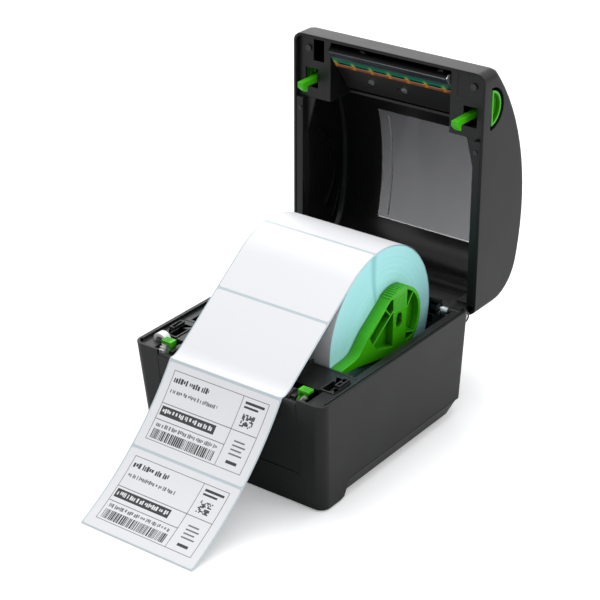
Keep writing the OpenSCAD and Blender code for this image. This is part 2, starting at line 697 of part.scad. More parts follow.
// Outline of a holder: a round head over the roll's core, a straight neck and a flat foot at its front end.
head_c = [roll_y + 12, roll_z + 6.5];
foot_y = roll_y - 70;
holder_edge = concat(arc(head_c, holder_r, -80, 118, 24), [[roll_y - 32.6, roll_z + 11.7],
    [roll_y - 36.2, roll_z + 8.3], [roll_y - 41, roll_z + 3.2], [roll_y - 45.5, roll_z - 0.4],
    [roll_y - 51, roll_z - 2], [foot_y, roll_z - 3.6], [foot_y, roll_z - 7.6], [roll_y - 46, roll_z - 9.6]]);
bar_y0 = roll_y + 1.5;
bar_y1 = roll_y + 20;
rim_t = 3;
// Hollows in front of the upright bar and behind it, each crossed by thin ribs.
front_hollow = [[bar_y0, roll_z + 30], [roll_y - 2.6, roll_z + 30], [roll_y - 30.6, roll_z + 9.2],
    [roll_y - 26, roll_z + 0.5], [roll_y - 19, roll_z - 6], [bar_y0, roll_z - 11.5]];
rear_hollow = concat([[bar_y1, roll_z - 14]], arc(head_c, holder_r - rim_t, -46, 70, 16));
screw_c = [roll_y + 10, roll_z + 8.5];
module rib_line(a, b, t) let(d = (b - a) / norm(b - a), n = [-d[1], d[0]] * t / 2) polygon([a - n, b - n, b + n, a + n]);
module holder_ribs() {
    rib_line([roll_y - 12, roll_z + 28], [roll_y - 2, roll_z + 17], 1.2);
    rib_line([roll_y - 2, roll_z + 17], [roll_y - 26, roll_z + 0.5], 1.2);
    rib_line([roll_y - 2, roll_z + 17], [roll_y + 3, roll_z + 20], 1.2);
    rib_line([roll_y + 19, roll_z + 13], [roll_y + 32, roll_z + 29], 1.2);
    rib_line([roll_y + 19, roll_z - 6], [roll_y + 36, roll_z - 12], 1.2);
}
module holder() {
    difference() {
        union() {
            across(holder_x0, holder_x0 + plate_h) polygon(holder_edge);
            across(holder_x0, holder_x1) difference() {
                polygon(holder_edge);
                difference() {
                    polygon(front_hollow);
                    holder_ribs();
                }
                difference() {
                    polygon(rear_hollow);
                    holder_ribs();
                }
            }
            // stem down through the tray's slot
            box3(holder_x0, holder_x0 + stem_t, roll_y - stem_half, roll_y + stem_half, rack_z1, roll_z - 12);
            // finger ridges over the head, and on the face of the bar
            for (a = [74:5:119]) translate([0, head_c[0], head_c[1]]) rotate([a, 0, 0])
                box3(holder_x0, holder_x1, holder_r - 1, holder_r + 0.7, -0.8, 0.8);
            for (z = [17:2.4:31]) box3(holder_x1 - 1, holder_x1 + 0.6, bar_y0 + 1, bar_y1 - 1, roll_z + z, roll_z + z + 1.2);
        }
        // recess for the screw
        across(holder_x0 + stem_t, holder_x1 + 1) {
            disc2(screw_c[0], screw_c[1] + 2.4, 4);
            disc2(screw_c[0], screw_c[1] - 2.4, 4);
            translate([screw_c[0] - 4, screw_c[1] - 2.4]) square([8, 4.8]);
        }
        rod(holder_x0 - 1, holder_x1 + 1, screw_c[0], screw_c[1], 2);
    }
    // plug that enters the core
    difference() {
        rod(holder_x0 - 6, holder_x0, roll_y, roll_z, hub_r);
        rod(holder_x0 - 7, holder_x0 + 1, roll_y, roll_z, hub_r - 3);
    }
}
// Rack teeth along +X, with a tooth gap at x = 0; the pinion's axis is on the -y side.
rack_pitch = PI * rack_m;
function rack_points(n0, n1) = let(h = tan(press_a) * rack_m, hd = tan(press_a) * 1.2 * rack_m,
        s = rack_pitch / 4 - 0.08)
    [for (k = [n0:n1]) let(x = (k + 0.5) * rack_pitch)
        each [[x - s - hd, 1.2 * rack_m], [x - s + h, -rack_m], [x + s - h, -rack_m], [x + s + hd, 1.2 * rack_m]]];
// teeth (tip at -rack_m) of a bar whose pitch line is y = 0
module rack_bar(n0, n1, x0, x1) linear_extrude(rack_z1 - rack_z0)
    polygon(concat([[x0, 1.2 * rack_m]], rack_points(n0, n1), [[x1, 1.2 * rack_m], [x1, 7], [x0, 7]]));
// The right rack runs behind the pinion; the left one is the same piece turned half round.
module rack_piece() {
    translate([0, roll_y, 0]) {
        translate([0, rack_m * centre_teeth / 2, rack_z0]) rack_bar(-6, 9, -6 * rack_pitch - 1, holder_x0 + 7);
        box3(holder_x0 - 2, holder_x0 + 7, -stem_half - 0.4, rack_m * centre_teeth / 2 + 7, rack_z0, rack_z1);
    }
}
module rack_right() color(green) placed() rack_piece();
module rack_left() color(green) placed()
    translate([0, roll_y, 0]) rotate([0, 0, 180]) translate([0, -roll_y, 0]) rack_piece();
module holder_right() color(green) placed() holder();
module holder_left() color(green) placed() mirror([1, 0, 0]) holder();
module holder_screw() {
    rod(holder_x0 + stem_t, holder_x0 + stem_t + 1.8, screw_c[0], screw_c[1], 3.4);
    rod(holder_x0 + 0.5, holder_x0 + stem_t, screw_c[0], screw_c[1], 2);
}
module holder_screw_right() color(steel) placed() holder_screw();
module holder_screw_left() color(steel) placed() mirror([1, 0, 0]) holder_screw();
module centring_pinion() color([0.92, 0.92, 0.88]) placed() translate([0, roll_y, rack_z0]) difference() {
    linear_extrude(rack_z1 - rack_z0) gear2d(centre_teeth, rack_m, 90, 0.16);
    translate([0, 0, -1]) cylinder(r = 3 + run_c, h = 10);
}

// ---- hinge pins and springs -------------------------------------------------------------------
module hinge_pins() color(steel) placed() both() rod(pin_x0, pin_x1, hinge_y, hinge_z, pin_r);
spring_x0 = boss_x1;
module hinge_springs() color([0.6, 0.6, 0.62]) placed() both()
    for (i = [0:4]) translate([spring_x0 + 0.8 + i * 1.45, hinge_y, hinge_z]) rotate([0, 90, 0])
        rotate_extrude() translate([pin_r + 1, 0]) circle(0.6, $fn = 16);

// ---- lid --------------------------------------------------------------------------------------
// Everything on the lid is laid out as if it were closed, then opened about the hinge.
module opened() placed() translate([0, hinge_y, hinge_z]) rotate([-lid_open, 0, 0])
    translate([0, -hinge_y, -hinge_z]) children();

crown_y = 130;
crown_c = [crown_y, lid_top_z - crown_r];
lid_z0 = rim_z + mate_gap;
lid_y0 = -1;
lid_y1 = body_d + 1;
lid_wall = 2.4;
// centres of the two end curves, each touching the crown curve from inside
front_c = [lid_y0 + lid_front_r, crown_c[1] + sqrt(pow(crown_r - lid_front_r, 2) - pow(lid_y0 + lid_front_r - crown_y, 2))];
back_c = [lid_y1 - lid_back_r, crown_c[1] + sqrt(pow(crown_r - lid_back_r, 2) - pow(lid_y1 - lid_back_r - crown_y, 2))];
front_a = atan2(front_c[1] - crown_c[1], front_c[0] - crown_c[0]);
back_a = atan2(back_c[1] - crown_c[1], back_c[0] - crown_c[0]);
function lid_points(inset, z0) = concat(
    [[lid_y1 - inset, z0]], arc(back_c, lid_back_r - inset, 0, back_a, 9),
    arc(crown_c, crown_r - inset, back_a + 2, front_a - 2, 14),
    arc(front_c, lid_front_r - inset, front_a, 180, 5), [[lid_y0 + inset, z0]]);
// Rounded lid form: wide slabs with a smaller outline, narrower slabs with the full one.
module lid_form(inset, z0) {
    r = corner_r - inset;
    hull() for (a = [0, 30, 60, 90]) {
        x = half_w - inset - r * (1 - cos(a));
        across(-x, x) polygon(lid_points(inset + r * (1 - sin(a)) * 0.8, z0));
    }
}
// A place on the lid's long curve, +z out of the surface.
module on_crown(x, a, r) translate([x, crown_c[0], crown_c[1]]) rotate([a - 90, 0, 0]) translate([0, 0, r]) children();

button_x = -74;
button_a = 124;
button_r = 6;
tab_c = [30, rim_z + 12.5];
tab_cut_r = 17.5;
window_half = window_w / 2;

// Half-round outline of the finger recess in the lid's side.
module tab_cut(grow) intersection() {
    disc2(tab_c[0], tab_c[1], tab_cut_r + grow);
    translate([tab_c[0] - 30, tab_c[1] - 1.5 - grow]) square([60, 40]);
}
module lid_shell() color(case_col) opened() difference() {
    lid_form(0, lid_z0);
    lid_form(lid_wall, lid_z0 - 5);
    box3(-window_half, window_half, window_y0, window_y1, rim_z + 30, lid_top_z + 9);
    both() across(half_w - 8, half_w + 1) tab_cut(0);
    on_crown(button_x, button_a, crown_r - 8) cylinder(r = button_r + 3, h = 20);
}
module lid_window() color([0.4, 0.42, 0.45, 0.6]) opened() intersection() {
    difference() {
        lid_form(0.2, lid_z0);
        lid_form(lid_wall - 0.2, lid_z0 - 5);
    }
    box3(-window_half + fit_c, window_half - fit_c, window_y0 + fit_c, window_y1 - fit_c, rim_z + 30, lid_top_z + 9);
}
module status_ring() color([0.55, 0.75, 0.9]) opened() on_crown(button_x, button_a, crown_r - 6) difference() {
    cylinder(r = button_r + 2.9, h = 6.6);
    translate([0, 0, -1]) cylinder(r = button_r + run_c, h = 9);
}
module feed_button() color([0.3, 0.3, 0.32]) opened() on_crown(button_x, button_a, crown_r - 5.5)
    cylinder(r = button_r, h = 7.1);

panel_z0 = rim_z + 5;
panel_z1 = panel_z0 + 2;
wall_y0 = 52;
wall_y1 = 54.5;
latch_z = rim_z + latch_up;
hook_hole = [70, 82.5, 29, 45.5];
rail_x0 = half_w - 9;
bridge_h = 19;
head_half = 56.8;
cheek_x0 = head_half + 0.7;
cheek_x1 = cheek_x0 + 2.5;

// Room inside the lid's shell, for trimming the frame to it.
module lid_inside() lid_form(lid_wall + fit_c, lid_z0 + 0.4);
module lid_frame() color(inner_col) opened() {
    difference() {
        intersection() {
            lid_inside();
            union() {
                // lower panels on both sides of the print head
                both() box3(cheek_x0, half_w, 0, wall_y1, panel_z0, panel_z1);
                // front rail
                box3(-half_w, half_w, 0, 3.6, panel_z0, panel_z0 + 10);
                // cheeks that hold the head and the latch shaft
                both() box3(cheek_x0, cheek_x1, 0, wall_y1, panel_z0, latch_z + 6);
                // wall behind the head
                both() box3(cheek_x0, half_w, wall_y0, wall_y1, panel_z0, lid_top_z);
                box3(-half_w, half_w, wall_y0, wall_y1, web_z(wall_y1) + 3, lid_top_z);
                // outer bearings of the latch shaft
                both() across(77.4, 79.7) polygon([[hook_hole[3], panel_z0], [hook_hole[3] + 4.5, panel_z0],
                    [hook_hole[3] + 4.5, latch_z + 5], [latch_y - 5, latch_z + 5], [latch_y - 5, latch_z - 5],
                    [hook_hole[3], latch_z - 5]]);
            }
        }
        both() box3(hook_hole[0], hook_hole[1], hook_hole[2], hook_hole[3], panel_z0 - 1, panel_z1 + 1);
        both() box3(64, 74.5, 3.8, 22, panel_z0 - 1, panel_z1 + 1);
        rod(-half_w, half_w, latch_y, latch_z, latch_r + run_c);
        both() across(half_w - 9, half_w + 1) tab_cut(1.2);
        on_crown(button_x, button_a, crown_r - 16) cylinder(r = button_r + 3.2, h = 30);
    }
    // bridge that the head springs push against
    at_nip() difference() {
        box3(-cheek_x0, cheek_x0, 6, 30, bridge_h, bridge_h + 2);
        for (x = [-38, 38]) translate([x, 18, bridge_h - 1]) cylinder(r = 1.7, h = 5);
    }
}
// Rails along the lid's sides, and the hinge arms at their rear ends.
module lid_hinges() color(inner_col) opened() {
    intersection() {
        lid_inside();
        both() {
            box3(rail_x0, half_w, wall_y1 + part_c, hinge_y - barrel_r, lid_z0, lid_z0 + 9);
            box3(arm_x0, half_w, hinge_y - barrel_r - 2.2, hinge_y - barrel_r, lid_z0 + 1, lid_z0 + 24);
            across(arm_x0, arm_x1) polygon([[hinge_y - barrel_r, lid_z0], [hinge_y - barrel_r, lid_z0 + 26],
                [lid_y1, lid_z0 + 26], [lid_y1, lid_z0]]);
        }
    }
    both() difference() {
        across(arm_x0, arm_x1) {
            disc2(hinge_y, hinge_z, barrel_r);
            polygon([[hinge_y - barrel_r, hinge_z], [hinge_y - barrel_r, lid_z0 + 2],
                [hinge_y - 0.6, lid_z0 + 2], [hinge_y - 0.6, hinge_z]]);
        }
        rod(arm_x0 - 1, arm_x1 + 1, hinge_y, hinge_z, pin_r + run_c);
    }
}
// Height of the web's upper face above a point between platen and roll.
function web_z(y) = nip_z + (y - nip_y) * tan(web_slope) + (gap_web + web_t) / cos(web_slope);

module lid_screws() color(steel) opened() {
    both() translate([79, 12, panel_z0 - 1.4]) cylinder(r = screw_r, h = 1.4);
    both() translate([rail_x0 + 2.4, 64, lid_z0 - 0.5]) cylinder(r = 1.8, h = 0.9);
}

// ---- latch ------------------------------------------------------------------------------------
hook_x0 = catch_x0 + 2;
hook_x1 = hook_x0 + hook_w;
nose_z1 = lip_catch_z - 0.4;
module latch_shaft() color(steel) opened() rod(-half_w + 4, half_w - 4, latch_y, latch_z, latch_r);
module latch_hooks() color(green) opened() both() difference() {
    across(hook_x0, hook_x1) {
        disc2(latch_y, latch_z, latch_r + 3);
        polygon([[latch_y - 3, latch_z], [latch_y - 2.6, nose_z1 - 7], [latch_y + 2, nose_z1 - 7],
            [latch_y + 6.6, nose_z1 - 1.5], [latch_y + 6.6, nose_z1], [latch_y + 2.2, nose_z1], [latch_y + 3, latch_z]]);
    }
    rod(hook_x0 - 1, hook_x1 + 1, latch_y, latch_z, latch_r);
}
// Half-round finger tabs in the lid's sides, dished inside their rims, on the ends of the latch shaft.
module release_tabs() color(green) opened() both() {
    difference() {
        across(half_w - 8.2, half_w - 0.8) tab_cut(-2.6);
        across(half_w - 5, half_w) tab_cut(-4.6);
    }
    difference() {
        across(half_w - 11.4, half_w - 8.9) {
            disc2(latch_y, latch_z, latch_r + 2.5);
            rib_line([latch_y, latch_z], [tab_c[0] + 3, tab_c[1] + 5], 8);
        }
        rod(half_w - 12, half_w - 8, latch_y, latch_z, latch_r);
    }
    rod(half_w - 9, half_w - 8, tab_c[0] + 3, tab_c[1] + 5, 3.4);
}
module latch_springs() color([0.7, 0.7, 0.72]) opened() both()
    for (i = [0:3]) translate([cheek_x1 + 1 + i * 1.5, latch_y, latch_z]) rotate([0, 90, 0])
        rotate_extrude() translate([latch_r + 1, 0]) circle(0.6, $fn = 16);

// ---- print head -------------------------------------------------------------------------------
head_gap = gap_web + web_t + 0.7;
ceramic_t = 1;
sink_t = 5;
sink_y0 = 1;
sink_y1 = 20;
cover_y1 = 50;
carrier_y1 = 37;
cover_screw_y = 33;
cover_screw_xs = [-26, 6];
module head_ceramic() color([0.1, 0.45, 0.42]) opened() at_nip()
    box3(-head_half + 1, head_half - 1, sink_y0, sink_y1 - 0.6, head_gap, head_gap + ceramic_t);
module head_sink() color([0.8, 0.8, 0.82]) opened() at_nip()
    box3(-head_half, head_half, sink_y0, sink_y1, head_gap + ceramic_t, head_gap + ceramic_t + sink_t);
module head_cover() color([0.07, 0.07, 0.08]) opened() at_nip() difference() {
    union() {
        box3(-head_half, head_half, sink_y1 + fit_c, cover_y1, head_gap + 1.2, head_gap + 2.6);
        box3(-head_half, head_half, cover_y1 - 1.6, cover_y1, head_gap + 1.2, head_gap + 5);
    }
    for (x = cover_screw_xs) translate([x, cover_screw_y, head_gap]) cylinder(r = 1.6, h = 5);
    translate([cover_screw_xs[1] - 6, cover_screw_y, head_gap]) cylinder(r = 1.3, h = 5);
}
module head_carrier() color(steel) opened() at_nip() {
    z0 = head_gap + ceramic_t + sink_t;
    box3(-head_half, head_half, 4, carrier_y1, z0, z0 + 1.5);
    // posts that carry the cover
    for (x = cover_screw_xs) translate([x, cover_screw_y, head_gap]) difference() {
        translate([0, 0, 2.6]) cylinder(r = 3.5, h = z0 - head_gap - 2.6);
        cylinder(r = 1.6, h = sink_t);
    }
    for (x = [-38, 38]) translate([x, 18, z0 + 1.5]) cylinder(r = 1.6, h = bridge_h - z0 + 2);
}
module head_screws() color([0.6, 0.6, 0.62]) opened() at_nip() for (x = cover_screw_xs) translate([x, cover_screw_y, 0]) {
    translate([0, 0, head_gap + 0.3]) cylinder(r = screw_r, h = 0.9);
    translate([0, 0, head_gap + 0.8]) cylinder(r = 1.6, h = 4);
}
module head_springs() color([0.7, 0.7, 0.72]) opened() at_nip() for (x = [-38, 38], i = [0:4])
    translate([x, 18, head_gap + ceramic_t + sink_t + 2.3 + i * 1.9])
        rotate_extrude() translate([3, 0]) circle(0.6, $fn = 16);

lower_case();
front_bezel();
front_deck();
media_tray();
rear_cover();
bottom_plate();
rubber_feet();
base_screws();
main_board();
dc_inlet();
usb_port();
switch_housing();
power_rocker();
media_sensor();
latch_catches();
light_guide();
platen_bushes();
platen_shaft();
platen_rubber();
platen_gear();
idler_gear();
double_gear();
motor_pinion();
motor_body();
gear_plate();
release_lever_left();
release_lever_right();
label_roll();
roll_core();
label_strip();
holder_left();
holder_right();
rack_left();
rack_right();
centring_pinion();
holder_screw_left();
holder_screw_right();
hinge_pins();
hinge_springs();
lid_shell();
lid_frame();
lid_hinges();
lid_window();
lid_screws();
feed_button();
status_ring();
latch_shaft();
latch_hooks();
release_tabs();
latch_springs();
head_carrier();
head_sink();
head_ceramic();
head_cover();
head_screws();
head_springs();
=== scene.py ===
# %% [markdown]
# # A desktop label printer with its lid open
# The printer's solid parts were drawn in CAD and arrive as a fixed frame. This lesson dresses them: it
# re-cuts the moulded covers with softened edges, makes the paper, the roll, the coiled springs and
# the print head's fine work with mesh tools, and gives every surface a finish of its own.

# %% Load the frame
import math
import random

import bmesh
import bpy
from mathutils import Matrix, Vector
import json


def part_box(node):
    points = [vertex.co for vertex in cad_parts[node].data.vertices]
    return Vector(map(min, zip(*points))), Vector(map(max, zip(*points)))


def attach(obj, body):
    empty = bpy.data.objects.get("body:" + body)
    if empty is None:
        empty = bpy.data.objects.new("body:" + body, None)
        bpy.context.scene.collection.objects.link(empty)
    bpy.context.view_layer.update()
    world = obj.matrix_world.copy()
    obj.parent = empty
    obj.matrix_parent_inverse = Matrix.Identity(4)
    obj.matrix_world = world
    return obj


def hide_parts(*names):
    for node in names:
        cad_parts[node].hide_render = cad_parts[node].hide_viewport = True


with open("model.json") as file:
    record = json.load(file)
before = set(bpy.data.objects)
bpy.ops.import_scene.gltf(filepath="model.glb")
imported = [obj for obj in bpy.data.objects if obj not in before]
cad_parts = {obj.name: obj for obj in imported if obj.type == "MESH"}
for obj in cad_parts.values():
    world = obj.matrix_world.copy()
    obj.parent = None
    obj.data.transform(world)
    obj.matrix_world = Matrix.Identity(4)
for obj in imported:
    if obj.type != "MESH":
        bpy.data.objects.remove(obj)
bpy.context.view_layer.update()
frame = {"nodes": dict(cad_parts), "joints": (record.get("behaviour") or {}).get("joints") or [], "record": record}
nodes = frame["nodes"]

# %% [markdown]
# ## Places
# The parts were laid out in millimetres from the printer's front face, so these helpers take the same
# numbers. The lid's parts were laid out with the lid closed. It stands open at a right angle, so a
# point on it is turned about the hinge. The hinge and the roll's axis are read from the joints, which
# is safer than writing their places a second time.

# %% Turn workshop measures into places
front_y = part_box("lower_case")[0].y
joints = {joint["name"]: joint for joint in frame["joints"]}
hinge = Vector(joints["lid_hinge"]["pos_m"])
roll_axis = Vector(joints["roll_turn"]["pos_m"])


def spot(x, y, z):
    """A point given in millimetres: x across, y back from the front face, z up."""
    return Vector((x / 1000, y / 1000 + front_y, z / 1000))


def on_lid(x, y, z):
    """The same, for a point laid out on the closed lid, after the lid is opened."""
    p = spot(x, y, z)
    return Vector((p.x, hinge.y + (p.z - hinge.z), hinge.z - (p.y - hinge.y)))


print("hinge at", tuple(round(v, 4) for v in hinge), "roll at", tuple(round(v, 4) for v in roll_axis))

# %% [markdown]
# ## Camera
# The camera looks down on the printer from its right. A long lens keeps the edges nearly parallel, as
# in a catalogue. The two angles are its turn round the printer and its tilt below level.

# %% Set up the camera
scene = bpy.context.scene
camera_data = bpy.data.cameras.new("studio_camera")
camera_data.lens = 112.14
camera_data.sensor_width = 36
camera = bpy.data.objects.new("studio_camera", camera_data)
camera.location = (0.7802, -1.05015, 0.7765)
turn_deg, tilt_deg = 36.4, 26.5
camera.rotation_euler = (math.radians(90 - tilt_deg), 0, math.radians(turn_deg))
scene.collection.objects.link(camera)
scene.camera = camera
print("camera stands", round((camera.location - hinge).length, 3), "m from the hinge")

# %% [markdown]
# ## Node helpers
# The world, the finishes and the floor are all node trees. These helpers make a node, set its sockets and
# link it in one call. A value that is a socket already is linked, and anything else is set as a number.

# %% Helpers for node trees


def add(tree, kind, settings=None, **inputs):
    """A node with its settings. An input is a number, or a socket to link from."""
    node = tree.nodes.new("ShaderNode" + kind)
    for key, value in (settings or {}).items():
        setattr(node, key, value)
    for key, value in inputs.items():
        socket = node.inputs[int(key[1:]) if key[0] == "i" and key[1:].isdigit() else key.replace("_", " ")]
        if isinstance(value, bpy.types.NodeSocket):
            tree.links.new(value, socket)
        else:
            socket.default_value = value
    return node


def math_node(tree, operation, a, b=0.0, clamp=False):
    return add(tree, "Math", {"operation": operation, "use_clamp": clamp}, i0=a, i1=b).outputs[0]


def mix_colour(tree, factor, a, b):
    """A colour between a and b. The Mix node's colour sockets are numbers 6 and 7."""
    return add(tree, "Mix", {"data_type": "RGBA"}, i0=factor, i6=a, i7=b).outputs[2]


def object_place(tree):
    """Where a point is on its piece, in metres, for a pattern to read."""
    return tree.nodes.new("ShaderNodeTexCoord").outputs["Object"]


def noise(tree, where, scale, **settings):
    return add(tree, "TexNoise", Vector=where, Scale=scale, **settings).outputs[0]


print("node helpers:", [helper.__name__ for helper in (add, math_node, mix_colour, object_place, noise)])

# %% [markdown]
# ## Studio
# A pale floor carries the shadow. Behind it the world is plain white where the camera, a reflection or
# clear plastic sees it, and a soft grey light everywhere else. Splitting the world by Light Path keeps
# the background white without pouring more light on the printer.

# %% Build the world
scene.view_settings.view_transform = "Standard"
world = bpy.data.worlds.new("studio_world")
scene.world = world
world.use_nodes = True
tree = world.node_tree
tree.nodes.clear()
seen = add(tree, "Background", Color=(1, 1, 1, 1), Strength=1.0)
fill = add(tree, "Background", Color=(0.95, 0.97, 1.0, 1), Strength=0.48)
path = tree.nodes.new("ShaderNodeLightPath")
white_for = math_node(tree, "MAXIMUM", path.outputs["Is Camera Ray"], path.outputs["Is Transmission Ray"])
white_for = math_node(tree, "MAXIMUM", white_for, path.outputs["Is Glossy Ray"])
blend = add(tree, "MixShader", i0=white_for, i1=fill.outputs[0], i2=seen.outputs[0])
add(tree, "OutputWorld", Surface=blend.outputs[0])
print("world nodes:", len(tree.nodes))

# %% [markdown]
# Area lamps give soft light. The largest hangs above and a little behind, and brightens every upward
# face. One on the right keeps the long side readable, and a weak one at the front stops the front panel
# from going black. One stands low behind, where its shine glances off the upward edges to the camera.

# %% Hang the lamps


def hang_lamp(name, place, aim, width, power):
    """An area lamp at a place, turned towards the point it lights."""
    data = bpy.data.lights.new(name, "AREA")
    data.shape = "SQUARE"
    data.size = width
    data.energy = power
    lamp = bpy.data.objects.new(name, data)
    lamp.location = place
    lamp.rotation_euler = (Vector(aim) - Vector(place)).to_track_quat("-Z", "Y").to_euler()
    scene.collection.objects.link(lamp)
    return lamp


hang_lamp("top_lamp", (-0.1, 0.25, 1.5), (0, 0, 0.05), 1.3, 18.5)
hang_lamp("side_lamp", (1.5, 0.2, 0.75), (0, 0, 0.12), 1.0, 8.3)
hang_lamp("front_lamp", (-0.9, -1.3, 0.8), (0, 0, 0.1), 0.9, 1.4)
hang_lamp("back_lamp", (-0.95, 1.3, 1.0), (0, 0.1, 0.2), 0.8, 4.2)

# %% [markdown]
# ## Shared effects
# Several finishes share three effects. Each is a node group: a small tree with named inputs, made once
# and dropped into every material that needs it. *moulded_grain* is the fine sparkle of spark-eroded
# plastic and a slow drift in tone. *soft_edges* rounds the shading of sharp edges and gives a mask of
# where hands rub them. *settled_dust* lightens faces that look up.

# %% A helper for node groups


def new_group(name, inputs, outputs):
    """An empty node group with named sockets. Inputs are (name, default value)."""
    group = bpy.data.node_groups.new(name, "ShaderNodeTree")
    for label, value in inputs:
        socket = group.interface.new_socket(name=label, in_out="INPUT", socket_type="NodeSocketFloat")
        socket.default_value = value
    for label, kind in outputs:
        group.interface.new_socket(name=label, in_out="OUTPUT", socket_type="NodeSocket" + kind)
    return group, group.nodes.new("NodeGroupInput"), group.nodes.new("NodeGroupOutput")


# %% [markdown]
# The grain is a fine noise for the bump, mixed with a slow one for the tone. The edge mask compares the
# rounded normal of a Bevel node with the face's own, because the two differ only near an edge. Dust is how
# much a face looks up, times a patchy noise.

# %% Build the shared effects
fine_share, rub_gain = 0.35, 6.0
grain_group, start, end = new_group("moulded_grain", [("Scale", 1400.0), ("Drift Scale", 22.0)],
                                    [("Height", "Float"), ("Tone", "Float")])
where = object_place(grain_group)
fine = noise(grain_group, where, start.outputs["Scale"], Detail=2.0, Roughness=0.6)
drift = noise(grain_group, where, start.outputs["Drift Scale"], Detail=3.0, Roughness=0.55)
grain_group.links.new(fine, end.inputs["Height"])
speck = math_node(grain_group, "MULTIPLY", fine, fine_share)
slow = math_node(grain_group, "MULTIPLY", drift, 1 - fine_share)
grain_group.links.new(math_node(grain_group, "ADD", speck, slow), end.inputs["Tone"])

edge_group, start, end = new_group("soft_edges", [("Radius", 0.0006)], [("Normal", "Vector"), ("Rub", "Float")])
rounded = add(edge_group, "Bevel", {"samples": 4}, Radius=start.outputs["Radius"])
facing = edge_group.nodes.new("ShaderNodeNewGeometry")
match = add(edge_group, "VectorMath", {"operation": "DOT_PRODUCT"}, i0=rounded.outputs[0],
            i1=facing.outputs["Normal"])
turned = math_node(edge_group, "SUBTRACT", 1.0, match.outputs["Value"])
edge_group.links.new(math_node(edge_group, "MULTIPLY", turned, rub_gain, True), end.inputs["Rub"])
edge_group.links.new(rounded.outputs[0], end.inputs["Normal"])

dust_group, start, end = new_group("settled_dust", [("Amount", 0.2)], [("Mask", "Float")])
up = add(dust_group, "SeparateXYZ", Vector=dust_group.nodes.new("ShaderNodeNewGeometry").outputs["Normal"])
patch = noise(dust_group, object_place(dust_group), 90.0, Detail=5.0, Roughness=0.7)
level = math_node(dust_group, "MULTIPLY", up.outputs["Z"], patch, True)
dust_group.links.new(math_node(dust_group, "MULTIPLY", level, start.outputs["Amount"], True),
                     end.inputs["Mask"])
print("shared effects:", [group.name for group in bpy.data.node_groups])

# %% [markdown]
# ## Finishes
# Most of the printer is moulded plastic, so one recipe makes all of it, and only its numbers change
# between charcoal, glossy black, green and white. Values that are the same all over a surface go straight
# into the shader's sockets. Small helpers link a colour, a varying roughness and a bump to the shader.

# %% Helpers for finishes


def new_material(name, **sockets):
    """A material with a Principled shader: gives the material, its tree and its shader."""
    made = bpy.data.materials.new(name)
    made.use_nodes = True
    tree = made.node_tree
    tree.nodes.clear()
    shader = tree.nodes.new("ShaderNodeBsdfPrincipled")
    add(tree, "OutputMaterial", Surface=shader.outputs[0])
    for key, value in sockets.items():
        shader.inputs[key.replace("_", " ")].default_value = value
    return made, tree, shader


def place_group(tree, group, **inputs):
    node = tree.nodes.new("ShaderNodeGroup")
    node.node_tree = group
    for key, value in inputs.items():
        node.inputs[key.replace("_", " ")].default_value = value
    return node


def tone(colour, factor):
    return tuple(min(1.0, channel * factor) for channel in colour[:3]) + (1.0,)


def paint(tree, shader, colour):
    tree.links.new(colour, shader.inputs["Base Color"])


def vary_roughness(tree, shader, pattern, low, high, pattern_low=0.0, pattern_high=1.0):
    """Lets the roughness run from low to high as the pattern does."""
    spread = add(tree, "MapRange", Value=pattern, From_Min=pattern_low, From_Max=pattern_high,
                 To_Min=low, To_Max=high)
    tree.links.new(spread.outputs[0], shader.inputs["Roughness"])


def emboss(tree, shader, height, depth, **normal):
    """A bump from a pattern, on top of a Normal if one is given."""
    bump = add(tree, "Bump", Height=height, Distance=depth, **normal)
    tree.links.new(bump.outputs[0], shader.inputs["Normal"])


# %% [markdown]
# The recipe itself stacks four colours: the drifting base, painted shade in the hollows, the shine of rubbed
# edges and dust. An Ambient Occlusion node finds the hollows, where the colour is darkened as painted shade.
# Only the green parts use it, for their deep pockets.

# %% Recipe for moulded plastic
dust_colour = (0.35, 0.34, 0.33, 1)
# How far the painted shade in hollows looks for nearby surfaces.
hollow_shade_reach = 0.012


def moulded(name, colour, roughness, grain=1400.0, depth=0.00002, radius=0.0005, rub=1.35, dust=0.1,
            drift=0.12, hollow_shade=1.0, **sockets):
    """Moulded plastic: drifting colour, painted shade in hollows, rubbed edges, a trace of dust and a fine bump.
    """
    made, tree, shader = new_material(name, **sockets)
    texture = place_group(tree, grain_group, Scale=grain)
    edges = place_group(tree, edge_group, Radius=radius)
    haze = place_group(tree, dust_group, Amount=dust)
    base = mix_colour(tree, texture.outputs["Tone"], tone(colour, 1 - drift), tone(colour, 1 + drift))
    # Painted shade: the colour darkens where the Ambient Occlusion node finds a hollow.
    if hollow_shade < 1.0:
        painted_hollow_shade = add(tree, "AmbientOcclusion", {"samples": 6}, Distance=hollow_shade_reach)
        base = mix_colour(tree, painted_hollow_shade.outputs["AO"], tone(colour, hollow_shade), base)
    worn = mix_colour(tree, edges.outputs["Rub"], base, tone(colour, rub))
    paint(tree, shader, mix_colour(tree, haze.outputs["Mask"], worn, dust_colour))
    vary_roughness(tree, shader, texture.outputs["Tone"], roughness - 0.04, roughness + 0.05, 0.2, 0.8)
    emboss(tree, shader, texture.outputs["Height"], depth, Normal=edges.outputs["Normal"])
    return made


